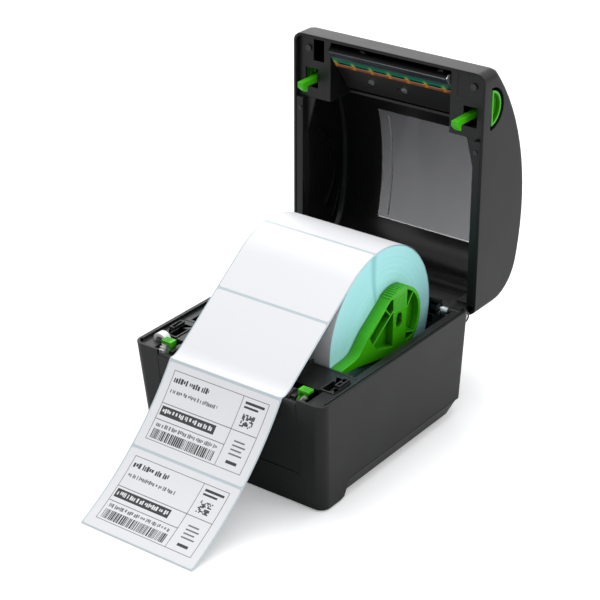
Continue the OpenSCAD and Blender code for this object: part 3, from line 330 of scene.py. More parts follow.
case_finish = moulded("charcoal_case", (0.0070, 0.0070, 0.0073), 0.42, grain=1100, depth=0.00004, rub=3.0,
                      dust=0.02, Specular_IOR_Level=0.24)
inner_finish = moulded("satin_black_inside", (0.0055, 0.0055, 0.0058), 0.36, depth=0.000015, rub=3.0,
                       dust=0.02, Specular_IOR_Level=0.32)
gloss_finish = moulded("glossy_black_lining", (0.008, 0.008, 0.0083), 0.22, grain=500, depth=0.000006,
                       rub=1.6, dust=0.01, Specular_IOR_Level=0.28)
black_finish = moulded("plain_black_parts", (0.008, 0.0083, 0.0086), 0.40, rub=2.6, dust=0.02,
                       Specular_IOR_Level=0.38)
# The green parts get painted shade in their deep pockets.
green_finish = moulded("leaf_green_parts", (0.050, 0.44, 0.004), 0.33, grain=700, depth=0.00001, rub=1.6,
                       dust=0.0, hollow_shade=0.12, Subsurface_Weight=0.04, Subsurface_Scale=0.001,
                       Specular_IOR_Level=0.32)
white_finish = moulded("milk_white_parts", (0.80, 0.80, 0.77), 0.38, rub=1.05, dust=0.1, drift=0.05)
button_finish = moulded("grey_button", (0.06, 0.06, 0.065), 0.30, rub=1.4, dust=0.02)
lens_finish = moulded("pale_blue_lens", (0.45, 0.62, 0.78), 0.25, rub=1.1, dust=0.0, drift=0.04)
board_finish = moulded("green_board", (0.012, 0.12, 0.045), 0.30, grain=260, rub=1.6, drift=0.3)
motor_finish = moulded("black_motor_can", (0.020, 0.020, 0.021), 0.30, grain=400, rub=3.0, Metallic=0.3)
rubber_finish = moulded("dull_rubber", (0.016, 0.016, 0.016), 0.72, grain=1800, depth=0.00005, rub=1.3,
                        dust=0.35)
print("plastics:", len(bpy.data.materials))

# %% [markdown]
# Metals need another recipe. Drawn or rolled steel has fine lines along one direction, which a stretched
# noise gives. The lines vary the roughness and the bump, while Metallic stays a plain number.

# %% Recipe for worked metal


def worked_metal(name, colour, roughness, along=(1, 1, 1), scale=400.0, depth=0.00001):
    """Metal with fine lines. The axis with the small number is the direction of the lines."""
    made, tree, shader = new_material(name, Metallic=1.0)
    stretch = add(tree, "Mapping", Vector=object_place(tree), Scale=along)
    lines = noise(tree, stretch.outputs[0], scale, Detail=3.0, Roughness=0.6)
    edges = place_group(tree, edge_group, Radius=0.0003)
    paint(tree, shader, mix_colour(tree, lines, tone(colour, 0.78), tone(colour, 1.15)))
    vary_roughness(tree, shader, lines, roughness * 0.8, roughness * 1.3, 0.3, 0.7)
    emboss(tree, shader, lines, depth, Normal=edges.outputs["Normal"])
    return made


steel_finish = worked_metal("bright_zinc_steel", (0.62, 0.63, 0.65), 0.28, along=(0.05, 1, 1))
brass_finish = worked_metal("machined_brass", (0.72, 0.50, 0.20), 0.25, along=(1, 0.2, 0.2))
dark_steel_finish = worked_metal("blackened_screws", (0.055, 0.055, 0.058), 0.34)
shaft_finish = worked_metal("oiled_steel", (0.30, 0.30, 0.31), 0.34, along=(0.05, 1, 1))


def sink_metal():
    """Blackened aluminium whose sawn right end is bare."""
    saw_depth = 0.0006
    made, tree, shader = new_material("blackened_aluminium", Metallic=1.0)
    where = object_place(tree)
    stretch = add(tree, "Mapping", Vector=where, Scale=(0.03, 1, 1))
    lines = noise(tree, stretch.outputs[0], 700.0)
    across = add(tree, "SeparateXYZ", Vector=where).outputs["X"]
    bare = math_node(tree, "GREATER_THAN", across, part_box("head_sink")[1].x - saw_depth)
    dark = mix_colour(tree, lines, (0.006, 0.006, 0.007, 1), (0.018, 0.018, 0.020, 1))
    paint(tree, shader, mix_colour(tree, bare, dark, (0.72, 0.72, 0.74, 1)))
    vary_roughness(tree, shader, lines, 0.30, 0.45)
    return made


sink_finish = sink_metal()
print("plastics and metals:", len(bpy.data.materials))

# %% [markdown]
# Paper and card are dull and slightly uneven. The labels are coated, so they are smoother and whiter than
# the pale blue backing that carries them. Ink is a separate near-black finish, a little broken, as a heated
# print line leaves it. The card core is wound from a strip, so its pattern is a spiral: the angle round the
# roll's axis is added to the distance along it.

# %% Paper, ink and card


def paper(name, colour, roughness, shade=0.96, fibre=900.0):
    made, tree, shader = new_material(name)
    where = object_place(tree)
    fibres = noise(tree, where, fibre, Detail=4.0, Roughness=0.65)
    cloud = noise(tree, where, 14.0, Detail=2.0)
    base = mix_colour(tree, cloud, tone(colour, shade), colour)
    fluff = math_node(tree, "MULTIPLY", fibres, 0.12)
    paint(tree, shader, mix_colour(tree, fluff, base, tone(colour, 0.9)))
    vary_roughness(tree, shader, fibres, roughness - 0.06, roughness + 0.06)
    emboss(tree, shader, fibres, 0.00001)
    return made


label_finish = paper("coated_label", (0.80, 0.80, 0.815, 1), 0.42)
liner_finish = paper("pale_backing", (0.52, 0.60, 0.63, 1), 0.38)
ink_finish = paper("heated_print", (0.018, 0.018, 0.020, 1), 0.45, shade=1.5, fibre=2500)
grey_ink_finish = paper("thin_print", (0.12, 0.12, 0.125, 1), 0.5, shade=1.4, fibre=2500)


def round_the_roll(tree):
    """A point seen from the roll's axis: its place, its X, its height and depth, and its angle."""
    where = object_place(tree)
    at = add(tree, "SeparateXYZ", Vector=where)
    high = math_node(tree, "SUBTRACT", at.outputs["Z"], roll_axis.z)
    back = math_node(tree, "SUBTRACT", at.outputs["Y"], roll_axis.y)
    return where, at.outputs["X"], high, back, math_node(tree, "ARCTAN2", high, back)


def core_card():
    strip_width, seam_half = 0.045, 0.03
    made, tree, shader = new_material("wound_card", Roughness=0.85)
    where, across, high, back, angle = round_the_roll(tree)
    turn = math_node(tree, "MULTIPLY", angle, 1 / math.tau)
    shifted = math_node(tree, "MULTIPLY", across, 1 / strip_width)
    seam = math_node(tree, "FRACT", math_node(tree, "ADD", turn, shifted))
    line = add(tree, "Math", {"operation": "COMPARE"}, i0=seam, i1=0.5, i2=seam_half).outputs[0]
    fibres = noise(tree, where, 600.0, Detail=5.0)
    base = mix_colour(tree, fibres, (0.26, 0.17, 0.09, 1), (0.42, 0.30, 0.17, 1))
    paint(tree, shader, mix_colour(tree, line, base, (0.14, 0.09, 0.05, 1)))
    emboss(tree, shader, fibres, 0.00006)
    return made


card_finish = core_card()
print("with paper and card:", len(bpy.data.materials))

# %% [markdown]
# The end of a roll shows the edges of hundreds of turns. Its rings are drawn from the distance to the
# roll's axis, in two sizes, with a darker wedge near one angle that leans round as the radius grows. The
# pattern is a colour and a bump, and the ring mesh underneath has real shallow steps as well.

# %% The end of the roll


def roll_end():
    made, tree, shader = new_material("wound_paper_edges", Roughness=0.55)
    wedge_angle, wedge_lean = 1.95, 3.0
    high, back, angle = round_the_roll(tree)[2:]
    squares = [math_node(tree, "MULTIPLY", side, side) for side in (high, back)]
    distance = math_node(tree, "SQRT", math_node(tree, "ADD", *squares))

    def ring_noise(rings_per_metre, **settings):
        line = add(tree, "CombineXYZ", X=math_node(tree, "MULTIPLY", distance, rings_per_metre))
        return noise(tree, line.outputs[0], 1.0, **settings)

    rings = ring_noise(900.0, Detail=3.0, Roughness=0.7)
    broad = ring_noise(130.0, Detail=2.0)
    lean = math_node(tree, "ADD", angle, math_node(tree, "MULTIPLY", distance, wedge_lean))
    near = math_node(tree, "ABSOLUTE", math_node(tree, "SUBTRACT", lean, wedge_angle))
    wedge = add(tree, "MapRange", {"interpolation_type": "SMOOTHSTEP"}, Value=near,
                From_Min=0.0, From_Max=0.10, To_Min=0.55, To_Max=0.0)
    pale = mix_colour(tree, rings, (0.24, 0.66, 0.67, 1), (0.46, 0.88, 0.89, 1))
    bands = mix_colour(tree, math_node(tree, "MULTIPLY", broad, 0.5), pale, (0.54, 0.92, 0.92, 1))
    paint(tree, shader, mix_colour(tree, wedge.outputs[0], bands, (0.14, 0.45, 0.48, 1)))
    emboss(tree, shader, rings, 0.00012)
    return made


roll_end_finish = roll_end()
print("with the roll's end:", len(bpy.data.materials))

# %% [markdown]
# The lid's window is smoked clear plastic, which lets light through and still shows reflections. Its smoke
# is a little paler low down and to the right, where more light from the room comes through.

# %% Smoked window
window_finish, tree, shader = new_material("smoked_window", Roughness=0.09, Transmission_Weight=0.9, IOR=1.16)
where = object_place(tree)
window_low, window_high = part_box("lid_window")
at = add(tree, "SeparateXYZ", Vector=where)
fall = add(tree, "MapRange", Value=at.outputs["Z"], From_Min=window_high.z, From_Max=window_low.z, To_Max=0.6)
side = add(tree, "MapRange", Value=at.outputs["X"], From_Min=window_low.x, From_Max=window_high.x, To_Max=0.4)
cloud = noise(tree, where, 9.0, Detail=3.0)
blotch = math_node(tree, "MULTIPLY", math_node(tree, "SUBTRACT", cloud, 0.5), 0.3)
paler = math_node(tree, "ADD", math_node(tree, "ADD", fall.outputs[0], side.outputs[0]), blotch)
paint(tree, shader, mix_colour(tree, paler, (0.055, 0.055, 0.057, 1), (0.20, 0.20, 0.205, 1)))
ripple = noise(tree, where, 30.0, Detail=1.0)
emboss(tree, shader, ripple, 0.0001)
# The ridge is coloured pale as a painted highlight, so it reads as a light line on the dark window.
ridge_highlight_finish = moulded("ridge_painted_highlight", (0.40, 0.40, 0.41), 0.45, depth=0.000002, rub=1.1, dust=0.0,
                       drift=0.03)
print("window height:", round(window_high.z - window_low.z, 4), "m")

# %% [markdown]
# The print head's glass strip carries a teal glaze, a row of dark arches where its heaters are wired, and a
# copper band. Those follow the head, so the strip gets its own UV map and the finish reads that map. A
# repeated cell along U gives the arches: its distance to the nearest peak bends the line between glaze
# and copper.

# %% Glazed print line


def head_glaze():
    """The glazed strip: bands across the map's V, a row of arches along its U."""
    cells, cell_shift = 6.43, 0.88
    made, tree, shader = new_material("glazed_print_line", Roughness=0.16, Coat_Weight=0.4)
    place = add(tree, "SeparateXYZ", Vector=add(tree, "UVMap", {"uv_map": "strip"}).outputs[0])
    across_strip, along_strip = place.outputs["Y"], place.outputs["X"]
    ramp = tree.nodes.new("ShaderNodeValToRGB")
    bands = [(0.0, (0.012, 0.014, 0.016)), (0.14, (0.022, 0.030, 0.034)), (0.26, (0.016, 0.018, 0.022)),
             (0.36, (0.040, 0.070, 0.080)), (0.46, (0.012, 0.110, 0.075)), (0.56, (0.006, 0.200, 0.080)),
             (0.68, (0.006, 0.150, 0.075))]
    while len(ramp.color_ramp.elements) < len(bands):
        ramp.color_ramp.elements.new(0.5)
    for element, (position, colour) in zip(ramp.color_ramp.elements, bands):
        element.position = position
        element.color = colour + (1,)
    tree.links.new(across_strip, ramp.inputs[0])
    repeat = add(tree, "Math", {"operation": "MULTIPLY_ADD"}, i0=along_strip, i1=cells, i2=cell_shift)
    cell = math_node(tree, "FRACT", repeat.outputs[0])
    off = math_node(tree, "ABSOLUTE", math_node(tree, "SUBTRACT", cell, 0.5))
    from_peak = math_node(tree, "SUBTRACT", 1.0, math_node(tree, "MULTIPLY", off, 2.0))
    smooth = {"interpolation_type": "SMOOTHSTEP"}
    peak = add(tree, "MapRange", smooth, Value=from_peak, From_Max=0.30, To_Min=1.0, To_Max=0.0).outputs[0]
    arch = add(tree, "MapRange", smooth, Value=from_peak, From_Min=0.14, From_Max=0.50).outputs[0]
    copper_line = math_node(tree, "SUBTRACT", 0.77, math_node(tree, "MULTIPLY", peak, 0.13))
    arch_line = math_node(tree, "SUBTRACT", copper_line, math_node(tree, "MULTIPLY", arch, 0.12))
    low_band = add(tree, "MapRange", Value=across_strip, From_Min=0.45, From_Max=0.62)
    lit_peak = math_node(tree, "MULTIPLY", peak, low_band.outputs[0])
    lit = mix_colour(tree, lit_peak, ramp.outputs[0], (0.16, 0.42, 0.05, 1))
    inside = math_node(tree, "GREATER_THAN", across_strip, arch_line)
    dark = mix_colour(tree, inside, lit, (0.006, 0.020, 0.014, 1))
    copper = math_node(tree, "GREATER_THAN", across_strip, copper_line)
    fine = noise(tree, object_place(tree), 500.0, Detail=3.0)
    metal = mix_colour(tree, fine, (0.17, 0.050, 0.022, 1), (0.34, 0.115, 0.045, 1))
    metal = mix_colour(tree, peak, metal, (0.62, 0.20, 0.015, 1))
    # Painted highlight: a pale pink line along the top edge of the copper band.
    copper_edge_highlight = math_node(tree, "LESS_THAN", across_strip, math_node(tree, "ADD", copper_line, 0.05))
    metal = mix_colour(tree, math_node(tree, "MULTIPLY", copper_edge_highlight, 0.6), metal, (0.62, 0.36, 0.26, 1))
    paint(tree, shader, mix_colour(tree, copper, dark, metal))
    emboss(tree, shader, copper, 0.00005)
    return made


glaze_finish = head_glaze()
print("finishes:", len(bpy.data.materials))

# %% [markdown]
# ## Dress the CAD parts
# The record says which finish each part belongs to, so one loop dresses them all. Parts that get a better
# shape further on are hidden then, and their finish is used again.

# %% Give every CAD part its finish
finishes = {
    "case_plastic": case_finish, "inner_plastic": inner_finish, "black_plastic": black_finish,
    "green_plastic": green_finish, "rubber": rubber_finish, "steel": steel_finish,
    "white_plastic": white_finish, "brass": brass_finish, "motor_metal": motor_finish,
    "circuit_board": board_finish, "label_paper": label_finish, "core_card": card_finish,
    "smoky_window": window_finish, "button_plastic": button_finish, "status_lens": lens_finish,
    "head_aluminium": sink_finish, "head_glaze": glaze_finish,
}
slots = {part["node"]: part["material_slot"] for part in frame["record"]["subparts"]}
bodies = {name: body for body, names in frame["record"]["behaviour"]["bodies"].items() for name in names}


def dress(piece, *materials):
    piece.data.materials.clear()
    for material in materials:
        piece.data.materials.append(material)


own_finishes = {"lid_screws": dark_steel_finish, "platen_shaft": shaft_finish, "latch_shaft": shaft_finish}
for name, part in nodes.items():
    dress(part, own_finishes.get(name, finishes[slots[name]]))
    part.data.set_sharp_from_angle(angle=math.radians(30))
print("dressed", len(nodes), "parts in", len(finishes), "finishes")

# %% [markdown]
# ## Softened covers
# A moulding never has knife edges. A copy of the CAD mesh is merged, its flat areas are joined into single
# faces, and every sharp edge long enough to take it gets a small bevel. The copy then stands for the CAD
# part. Bevelling a copy keeps the maker's exact shape, which modelling it again would not.

# %% Helpers that make and soften a piece


def only(kind, items):
    """The vertices, edges or faces of the mixed list that an operator gives back."""
    return [item for item in items if isinstance(item, kind)]


def look_outwards(shape):
    bmesh.ops.recalc_face_normals(shape, faces=shape.faces)


def make_piece(name, mesh_source, body, slot_name, *materials):
    """Turns a finished bmesh into a named piece that rides on a body."""
    mesh = bpy.data.meshes.new(name)
    mesh_source.to_mesh(mesh)
    mesh_source.free()
    piece = bpy.data.objects.new(name, mesh)
    scene.collection.objects.link(piece)
    for polygon in mesh.polygons:
        polygon.use_smooth = True
    mesh.set_sharp_from_angle(angle=math.radians(32))
    for material in materials:
        mesh.materials.append(material)
    flatten = piece.modifiers.new("even_shading", "WEIGHTED_NORMAL")
    flatten.keep_sharp = True
    flatten.weight = 100
    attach(piece, body)
    return piece


def merged_copy(part):
    """A bmesh of a CAD part with its loose triangles merged and its flat areas joined."""
    shape = bmesh.new()
    shape.from_mesh(nodes[part].data)
    bmesh.ops.remove_doubles(shape, verts=shape.verts, dist=2e-6)
    bmesh.ops.dissolve_limit(shape, angle_limit=math.radians(0.6), verts=shape.verts, edges=shape.edges,
                             use_dissolve_boundaries=False)
    return shape


def soften(shape, width, sharp=28.0, steps=2):
    """Bevels the sharp edges of a bmesh that are long enough for the width."""
    sharp_edges = [edge for edge in shape.edges if len(edge.link_faces) == 2
                   and edge.calc_length() > width * 1.2 and edge.calc_face_angle(0.0) > math.radians(sharp)]
    bmesh.ops.bevel(shape, geom=sharp_edges, offset=width, segments=steps, affect="EDGES", profile=0.5,
                    material=-1, clamp_overlap=False, loop_slide=True)
    return len(sharp_edges)


def softened(part, name, width_mm, sharp=28.0):
    """A softened copy of a CAD part that stands for it, in the same finish."""
    shape = merged_copy(part)
    count = soften(shape, width_mm / 1000, sharp)
    piece = make_piece(name, shape, bodies[part], slots[part], finishes[slots[part]])
    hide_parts(part)
    print(name, "softened", count, "edges,", len(piece.data.polygons), "faces")
    return piece


# %% [markdown]
# The list holds one row for each part: the CAD part, the name of its softened copy and the width of its
# bevel in millimetres. Small parts get a fine bevel, and grips and covers that are touched get a wider one.

# %% Soften the grips, boxes and covers
for part, name, width in (
        ("holder_right", "roll_grip_right", 0.35), ("holder_left", "roll_grip_left", 0.35),
        ("latch_hooks", "latch_claws", 0.4), ("release_tabs", "finger_tabs", 0.5),
        ("release_lever_left", "platen_lever_left", 0.3), ("release_lever_right", "platen_lever_right", 0.3),
        ("latch_catches", "latch_boxes", 0.3), ("head_cover", "print_head_cover", 0.25),
        ("feed_button", "round_button", 0.5), ("power_rocker", "rocker_switch", 0.4),
        ("switch_housing", "switch_frame", 0.4), ("front_bezel", "front_panel", 0.3),
        ("rear_cover", "rear_panel", 0.3), ("front_deck", "front_shelf", 0.25),
        ("media_tray", "roll_tray", 0.3), ("lower_case", "lower_cover", 0.5),
        ("lid_frame", "lid_inner_frame", 0.3), ("lid_hinges", "lid_hinge_rails", 0.3)):
    softened(part, name, width)

# %% [markdown]
# The lid's shell is matt outside and glossy inside. Each face of the copy is sorted by which way it looks:
# a face that looks towards the middle of the lid belongs to the lining.

# %% Soften the lid shell and sort its faces
shape = merged_copy("lid_shell")
shell_bevel, hollow_depth = 0.0005, 0.012
soften(shape, shell_bevel)
shell_low, shell_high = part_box("lid_shell")
middle = (shell_low + shell_high) / 2
middle.y = shell_low.y + hollow_depth
for face in shape.faces:
    towards = middle - face.calc_center_median()
    if face.normal.dot(towards) > 0:
        face.material_index = 1
lining = sum(1 for face in shape.faces if face.material_index == 1)
lid_cover = make_piece("lid_cover", shape, "lid", "case_plastic", case_finish, gloss_finish)
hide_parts("lid_shell")
print("lid faces inside:", lining, "of", len(lid_cover.data.polygons))

# %% [markdown]
# The window fits its opening with a small gap. Its copy is stretched by a hair, so that hardly any daylight
# shows round it.

# %% Fit the window
shape = merged_copy("lid_window")
hair = 0.00032
middle = (window_low + window_high) / 2
stretch = [1 + hair / (window_high.x - window_low.x), 1.0, 1 + hair / (window_high.z - window_low.z)]
bmesh.ops.translate(shape, vec=-middle, verts=shape.verts)
bmesh.ops.scale(shape, vec=stretch, verts=shape.verts)
bmesh.ops.translate(shape, vec=middle, verts=shape.verts)
pane = make_piece("window_pane", shape, "lid", "smoky_window", window_finish)
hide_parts("lid_window")
print("window pane:", [round(v * 1000, 1) for v in pane.dimensions])

# %% [markdown]
# ## The web of labels
# The web leaves the roll, runs over the platen and the front lip, and hangs to the ground. The line it
# follows is made of an arc round the roll, a straight run to the platen, a small arc over the lip and a
# curve down to the ground. All its points are in millimetres, as depth and height.

# %% The line that the web follows
roll_r, platen_r, lip_r = 69.5, 8.0, 2.7
web_gap = 0.5


def arc_points(centre, radius, first, last, count):
    steps = [math.radians(first + (last - first) * i / count) for i in range(count + 1)]
    return [Vector((centre[0] + radius * math.cos(a), centre[1] + radius * math.sin(a))) for a in steps]


def curve_points(a, b, c, count):
    """Points of a quadratic curve from a to c, pulled towards b."""
    ts = [i / count for i in range(count + 1)]
    return [(1 - t) ** 2 * a + 2 * t * (1 - t) * b + t * t * c for t in ts]


platen_mid = Vector((14.0, 88.0))
roll_mid = Vector((roll_axis.y - front_y, roll_axis.z)) * 1000
between = roll_mid - platen_mid
slope = math.atan2(between.y, between.x) + math.asin((roll_r - platen_r) / between.length)
along = Vector((math.cos(slope), math.sin(slope)))
outward = Vector((-math.sin(slope), math.cos(slope)))
nip = platen_mid + outward * (platen_r + web_gap)
lip = Vector((2.6, 91.6))
leave = lip + Vector((-0.84, 0.55)) * lip_r
pull_point, ground_end = Vector((-40.6, 32.0)), Vector((-108.0, 0.4))
hang = [p for p in curve_points(leave, pull_point, ground_end, 60) if p.x < leave.x - 1]
wrap = []
for i in range(1, 86):
    angle = math.radians(60 - i * 2.5)
    sunk = 0.35 * min(1.0, i / 10)
    wrap.append(roll_mid + Vector((math.cos(angle), math.sin(angle))) * (roll_r + web_gap - sunk))
over_roll = arc_points(roll_mid, roll_r + web_gap, 60, 90 + math.degrees(slope), 30)
over_platen = curve_points(nip + along * 7, nip, nip - Vector((5, 1.1)), 8)
over_lip = arc_points(lip, lip_r, 104, 146, 6)
web_line = list(reversed(wrap)) + over_roll + over_platen + over_lip + hang
web_line.reverse()
web_length = [0.0]
for a, b in zip(web_line, web_line[1:]):
    web_length.append(web_length[-1] + (b - a).length)
print("web line:", len(web_line), "points,", round(web_length[-1]), "mm, slope", round(math.degrees(slope), 2))

# %% [markdown]
# Every paper piece is made flat and then laid on that line: the flat shape is cut across at short steps
# with bisect_plane, thickened, and each vertex is moved to its place on the line. Modelling the curve
# directly would need new numbers for each label, and this way one line serves them all.

# %% Lay a flat shape on the line


def on_web(x, s, lift):
    """The place of a point x across the web, s along it from its free end, and lift above it, in mm."""
    i = 0
    while i < len(web_line) - 2 and web_length[i + 1] < s:
        i += 1
    a, b = web_line[i], web_line[i + 1]
    t = (s - web_length[i]) / (web_length[i + 1] - web_length[i])
    before = web_line[max(i - 1, 0)]
    after = web_line[min(i + 2, len(web_line) - 1)]
    run = ((b - before) * (1 - t) + (after - a) * t).normalized()
    p = a + (b - a) * t + Vector((-run.y, run.x)) * lift
    return spot(x, p.x, p.y)


def flat_shape(shape, x0, x1, s0, s1, corner=0.0):
    """Adds a flat rectangle in the (x, s) plane, with rounded corners if asked."""
    made = bmesh.ops.create_grid(shape, x_segments=1, y_segments=1, size=0.5)["verts"]
    bmesh.ops.scale(shape, vec=(x1 - x0, s1 - s0, 1), verts=made)
    bmesh.ops.translate(shape, vec=((x0 + x1) / 2, (s0 + s1) / 2, 0), verts=made)
    if corner:
        bmesh.ops.bevel(shape, geom=made, offset=corner, segments=4, affect="VERTICES", profile=0.5,
                        material=-1)


def lay_on_web(shape, name, lift, thick, step, finish, slot_name="label_paper"):
    """Cuts the flat shapes across, thickens them and lays them on the web's line."""
    low = min(v.co.y for v in shape.verts)
    high = max(v.co.y for v in shape.verts)
    cut = math.ceil(low / step) * step
    while cut < high:
        bmesh.ops.bisect_plane(shape, geom=shape.verts[:] + shape.edges[:] + shape.faces[:],
                               plane_co=(0, cut, 0), plane_no=(0, 1, 0))
        cut += step
    raised = bmesh.ops.extrude_face_region(shape, geom=shape.faces[:], use_keep_orig=True)["geom"]
    bmesh.ops.translate(shape, vec=(0, 0, thick), verts=only(bmesh.types.BMVert, raised))
    look_outwards(shape)
    for vertex in shape.verts:
        vertex.co = on_web(vertex.co.x, vertex.co.y, lift + vertex.co.z)
    look_outwards(shape)
    return make_piece(name, shape, "base", slot_name, finish)


# %% [markdown]
# The backing is one long strip. The labels on it are separate thin plates with round corners. One starts
# every 72 mm and ends 2.2 mm before the next, so the backing shows between them as a pale line.

# %% Make the backing and its labels
web_half, pitch, side_margin, half_gap = 54.0, 72.0, 1.2, 1.1
backing_lift, backing_thick, label_lift, label_thick, bend_step = -0.12, 0.2, 0.08, 0.12, 1.0
shape = bmesh.new()
flat_shape(shape, -web_half, web_half, 0.0, web_length[-1] - 1)
backing = lay_on_web(shape, "label_backing", backing_lift, backing_thick, bend_step, liner_finish)
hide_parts("label_strip")
shape = bmesh.new()
label_count = int((web_length[-1] - 1) // pitch)
for k in range(label_count):
    flat_shape(shape, -web_half + side_margin, web_half - side_margin,
               k * pitch + half_gap, (k + 1) * pitch - half_gap, corner=2.0)
labels = lay_on_web(shape, "labels_on_backing", label_lift, label_thick, bend_step, label_finish)
print("labels on the web:", label_count, "with", len(labels.data.polygons), "faces")

# %% [markdown]
# Two labels are printed. The layout is a plain sample: frames, bars that stand for lines of words, a row of
# upright bars and a grid of squares. Bars say "printed label" without spelling anything. Their widths come
# from a seeded random draw, so the row is the same each time.

# %% Print two sample labels
draw = random.Random(7)


def print_line(shape, base, x0, x1, v0, v1):
    flat_shape(shape, x0, x1, base + v0, base + v1)


def word_bars(shape, base, x0, x1, v0, v1):
    """A row of short bars, as lines of words look from far away."""
    x = x0
    while x < x1:
        wide = draw.uniform(0.7, 1.5) * (v1 - v0) / 3
        foot = v0 + draw.choice((0.0, 0.0, 0.25)) * (v1 - v0)
        print_line(shape, base, x, min(x + wide, x1), foot, v1 - draw.choice((0.0, 0.2)) * (v1 - v0))
        x += wide + draw.choice((0.35, 0.45, 1.4)) * (v1 - v0) / 3


def sample_label(dark, thin, bare, base):
    """One printed label that starts at base along the web. Each bar is x0, x1 across and v0, v1 along."""
    frames = ((-45.6, 46, 65.2, 65.7), (-45.6, 46, 8.7, 9.2), (-45.6, -45.1, 8.7, 65.7),
              (45.5, 46, 8.7, 65.7), (21.6, 22.1, 8.7, 65.7), (-45.6, 46, 38.7, 39.3),
              (-45.6, 21.8, 25.7, 26.3))
    for x0, x1, v0, v1 in frames:
        print_line(thin, base, x0, x1, v0, v1)
    print_line(dark, base, -43.6, 8.9, 29.6, 37.0)
    word_bars(bare, base, -42.0, 7.5, 31.6, 35.2)
    word_bars(dark, base, -43.0, -9.0, 56.6, 61.0)
    word_bars(thin, base, -42.6, 3.0, 48.2, 51.4)
    word_bars(thin, base, -42.0, 17.0, 20.4, 23.6)
    x = -42.5
    while x < 17.5:
        wide = draw.choice((0.5, 0.5, 0.9, 1.4))
        print_line(dark, base, x, x + wide, 10.6, 18.6)
        x += wide + draw.choice((0.45, 0.6, 1.0))
    print_line(dark, base, 25.2, 43.0, 60.2, 62.2)
    print_line(dark, base, 25.2, 38.5, 57.0, 58.6)
    for column in range(9):
        for row in range(9):
            if draw.random() < 0.58:
                print_line(dark, base, 27 + column * 1.25, 28.2 + column * 1.25,
                           43 + row * 1.1, 44.05 + row * 1.1)
    for row in range(4):
        print_line(thin, base, 28.5, 40.5 - 2.0 * (row % 2), 20.6 + row * 3.4, 21.8 + row * 3.4)
    print_line(dark, base, 29.3, 39.3, 13.6, 16.0)


dark, thin, bare = bmesh.new(), bmesh.new(), bmesh.new()
printed_labels = 2
for k in range(printed_labels):
    sample_label(dark, thin, bare, k * pitch)
on_label, on_ink, ink_thick, ink_step = 0.201, 0.222, 0.02, 6.0
printed = [lay_on_web(dark, "printed_bars", on_label, ink_thick, ink_step, ink_finish),
           lay_on_web(thin, "printed_lines", on_label, ink_thick, ink_step, grey_ink_finish),
           lay_on_web(bare, "unprinted_marks", on_ink, ink_thick, ink_step, label_finish)]
print("print faces:", sum(len(piece.data.polygons) for piece in printed))

# %% [markdown]
# ## The roll
# The roll is a spun shape: a profile of small steps from the core out to the rim, turned once about the
# roll's axis. The steps are the edges of single turns that stand a little proud of each other. Its outside
# gets the label's finish and its ends the ringed one.

# %% Spin the roll
shape = bmesh.new()
steps = random.Random(11)
profile = []
core_r, deepest_step, turn_steps = 21.6, 0.22, 160
radius = core_r
while radius < roll_r - 0.6:
    profile.append((radius, web_half - 0.05 - steps.uniform(0.0, deepest_step)))
    radius += steps.uniform(0.9, 1.6)
profile.append((roll_r - 0.25, web_half - 0.25))
rim = [(roll_r, web_half - 0.5), (roll_r, -web_half + 0.5)]
outline = profile + rim + [(r, -x) for r, x in reversed(profile)]
verts = [shape.verts.new(spot(x, roll_mid.x, roll_mid.y + r)) for r, x in outline]
edges = [shape.edges.new(pair) for pair in zip(verts, verts[1:] + verts[:1])]
bmesh.ops.spin(shape, geom=verts + edges, cent=roll_axis, axis=(1, 0, 0), angle=math.tau,
               steps=turn_steps, use_merge=True)
bmesh.ops.remove_doubles(shape, verts=shape.verts, dist=1e-6)
look_outwards(shape)
for face in shape.faces:
    if abs(face.normal.x) > 0.6:
        face.material_index = 1
roll = make_piece("wound_roll", shape, "roll", "label_paper", label_finish, roll_end_finish)
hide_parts("label_roll")
print("roll:", len(roll.data.polygons), "faces")

# %% [markdown]
# ## Springs
# A coil spring is a small circle swept along a helix. Spinning the circle about the spring's axis while it
# moves along gives just that, with the spin tool's own dvec, which adds the same shift at each step. The
# ends are closed with one face each.

# %% Wind the hinge's and the latch's springs
ring_sides, steps_per_turn = 8, 20


def coil(shape, centre, axis, coil_r, wire_r, turns, length, start_out):
    """Adds one coil spring: axis from centre, with its first turn beginning in the direction start_out."""
    axis = Vector(axis).normalized()
    out = Vector(start_out).normalized()
    ring = bmesh.ops.create_circle(shape, cap_ends=False, radius=wire_r, segments=ring_sides)["verts"]
    turn = Matrix((out, axis, axis.cross(out))).transposed().to_4x4()
    bmesh.ops.transform(shape, matrix=Matrix.Translation(Vector(centre) + out * coil_r) @ turn, verts=ring)
    ring_edges = list({edge for vertex in ring for edge in vertex.link_edges})
    count = turns * steps_per_turn
    spun = bmesh.ops.spin(shape, geom=ring + ring_edges, cent=centre, axis=axis, dvec=axis * length / count,
                          angle=math.tau * turns, steps=count, use_merge=False)["geom_last"]
    for loop in (ring_edges, only(bmesh.types.BMEdge, spun)):
        bmesh.ops.holes_fill(shape, edges=loop, sides=ring_sides)


def spring_pair(name, body, place, axis, **measures):
    """Two mirrored coil springs. Their place and axis are worked out from the side, -1 or 1."""
    shape = bmesh.new()
    for side in (-1, 1):
        coil(shape, place(side), axis(side), **measures)
    look_outwards(shape)
    return make_piece(name, shape, body, "steel", steel_finish)


hinge_spring_x = 0.0659
hinge_coils = spring_pair("hinge_coils", "base", lambda side: hinge + Vector((side * hinge_spring_x, 0, 0)),
                          lambda side: (side, 0, 0), coil_r=0.0035, wire_r=0.0006, turns=5, length=0.0058,
                          start_out=(0, -1, 0))
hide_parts("hinge_springs")
latch_coils = spring_pair("latch_coils", "lid", lambda side: on_lid(side * 61.0, 38, 128),
                          lambda side: (side, 0, 0), coil_r=0.004, wire_r=0.0006, turns=4, length=0.0045,
                          start_out=(0, -1, 0))
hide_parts("latch_springs")
print("spring faces:", len(hinge_coils.data.polygons), len(latch_coils.data.polygons))

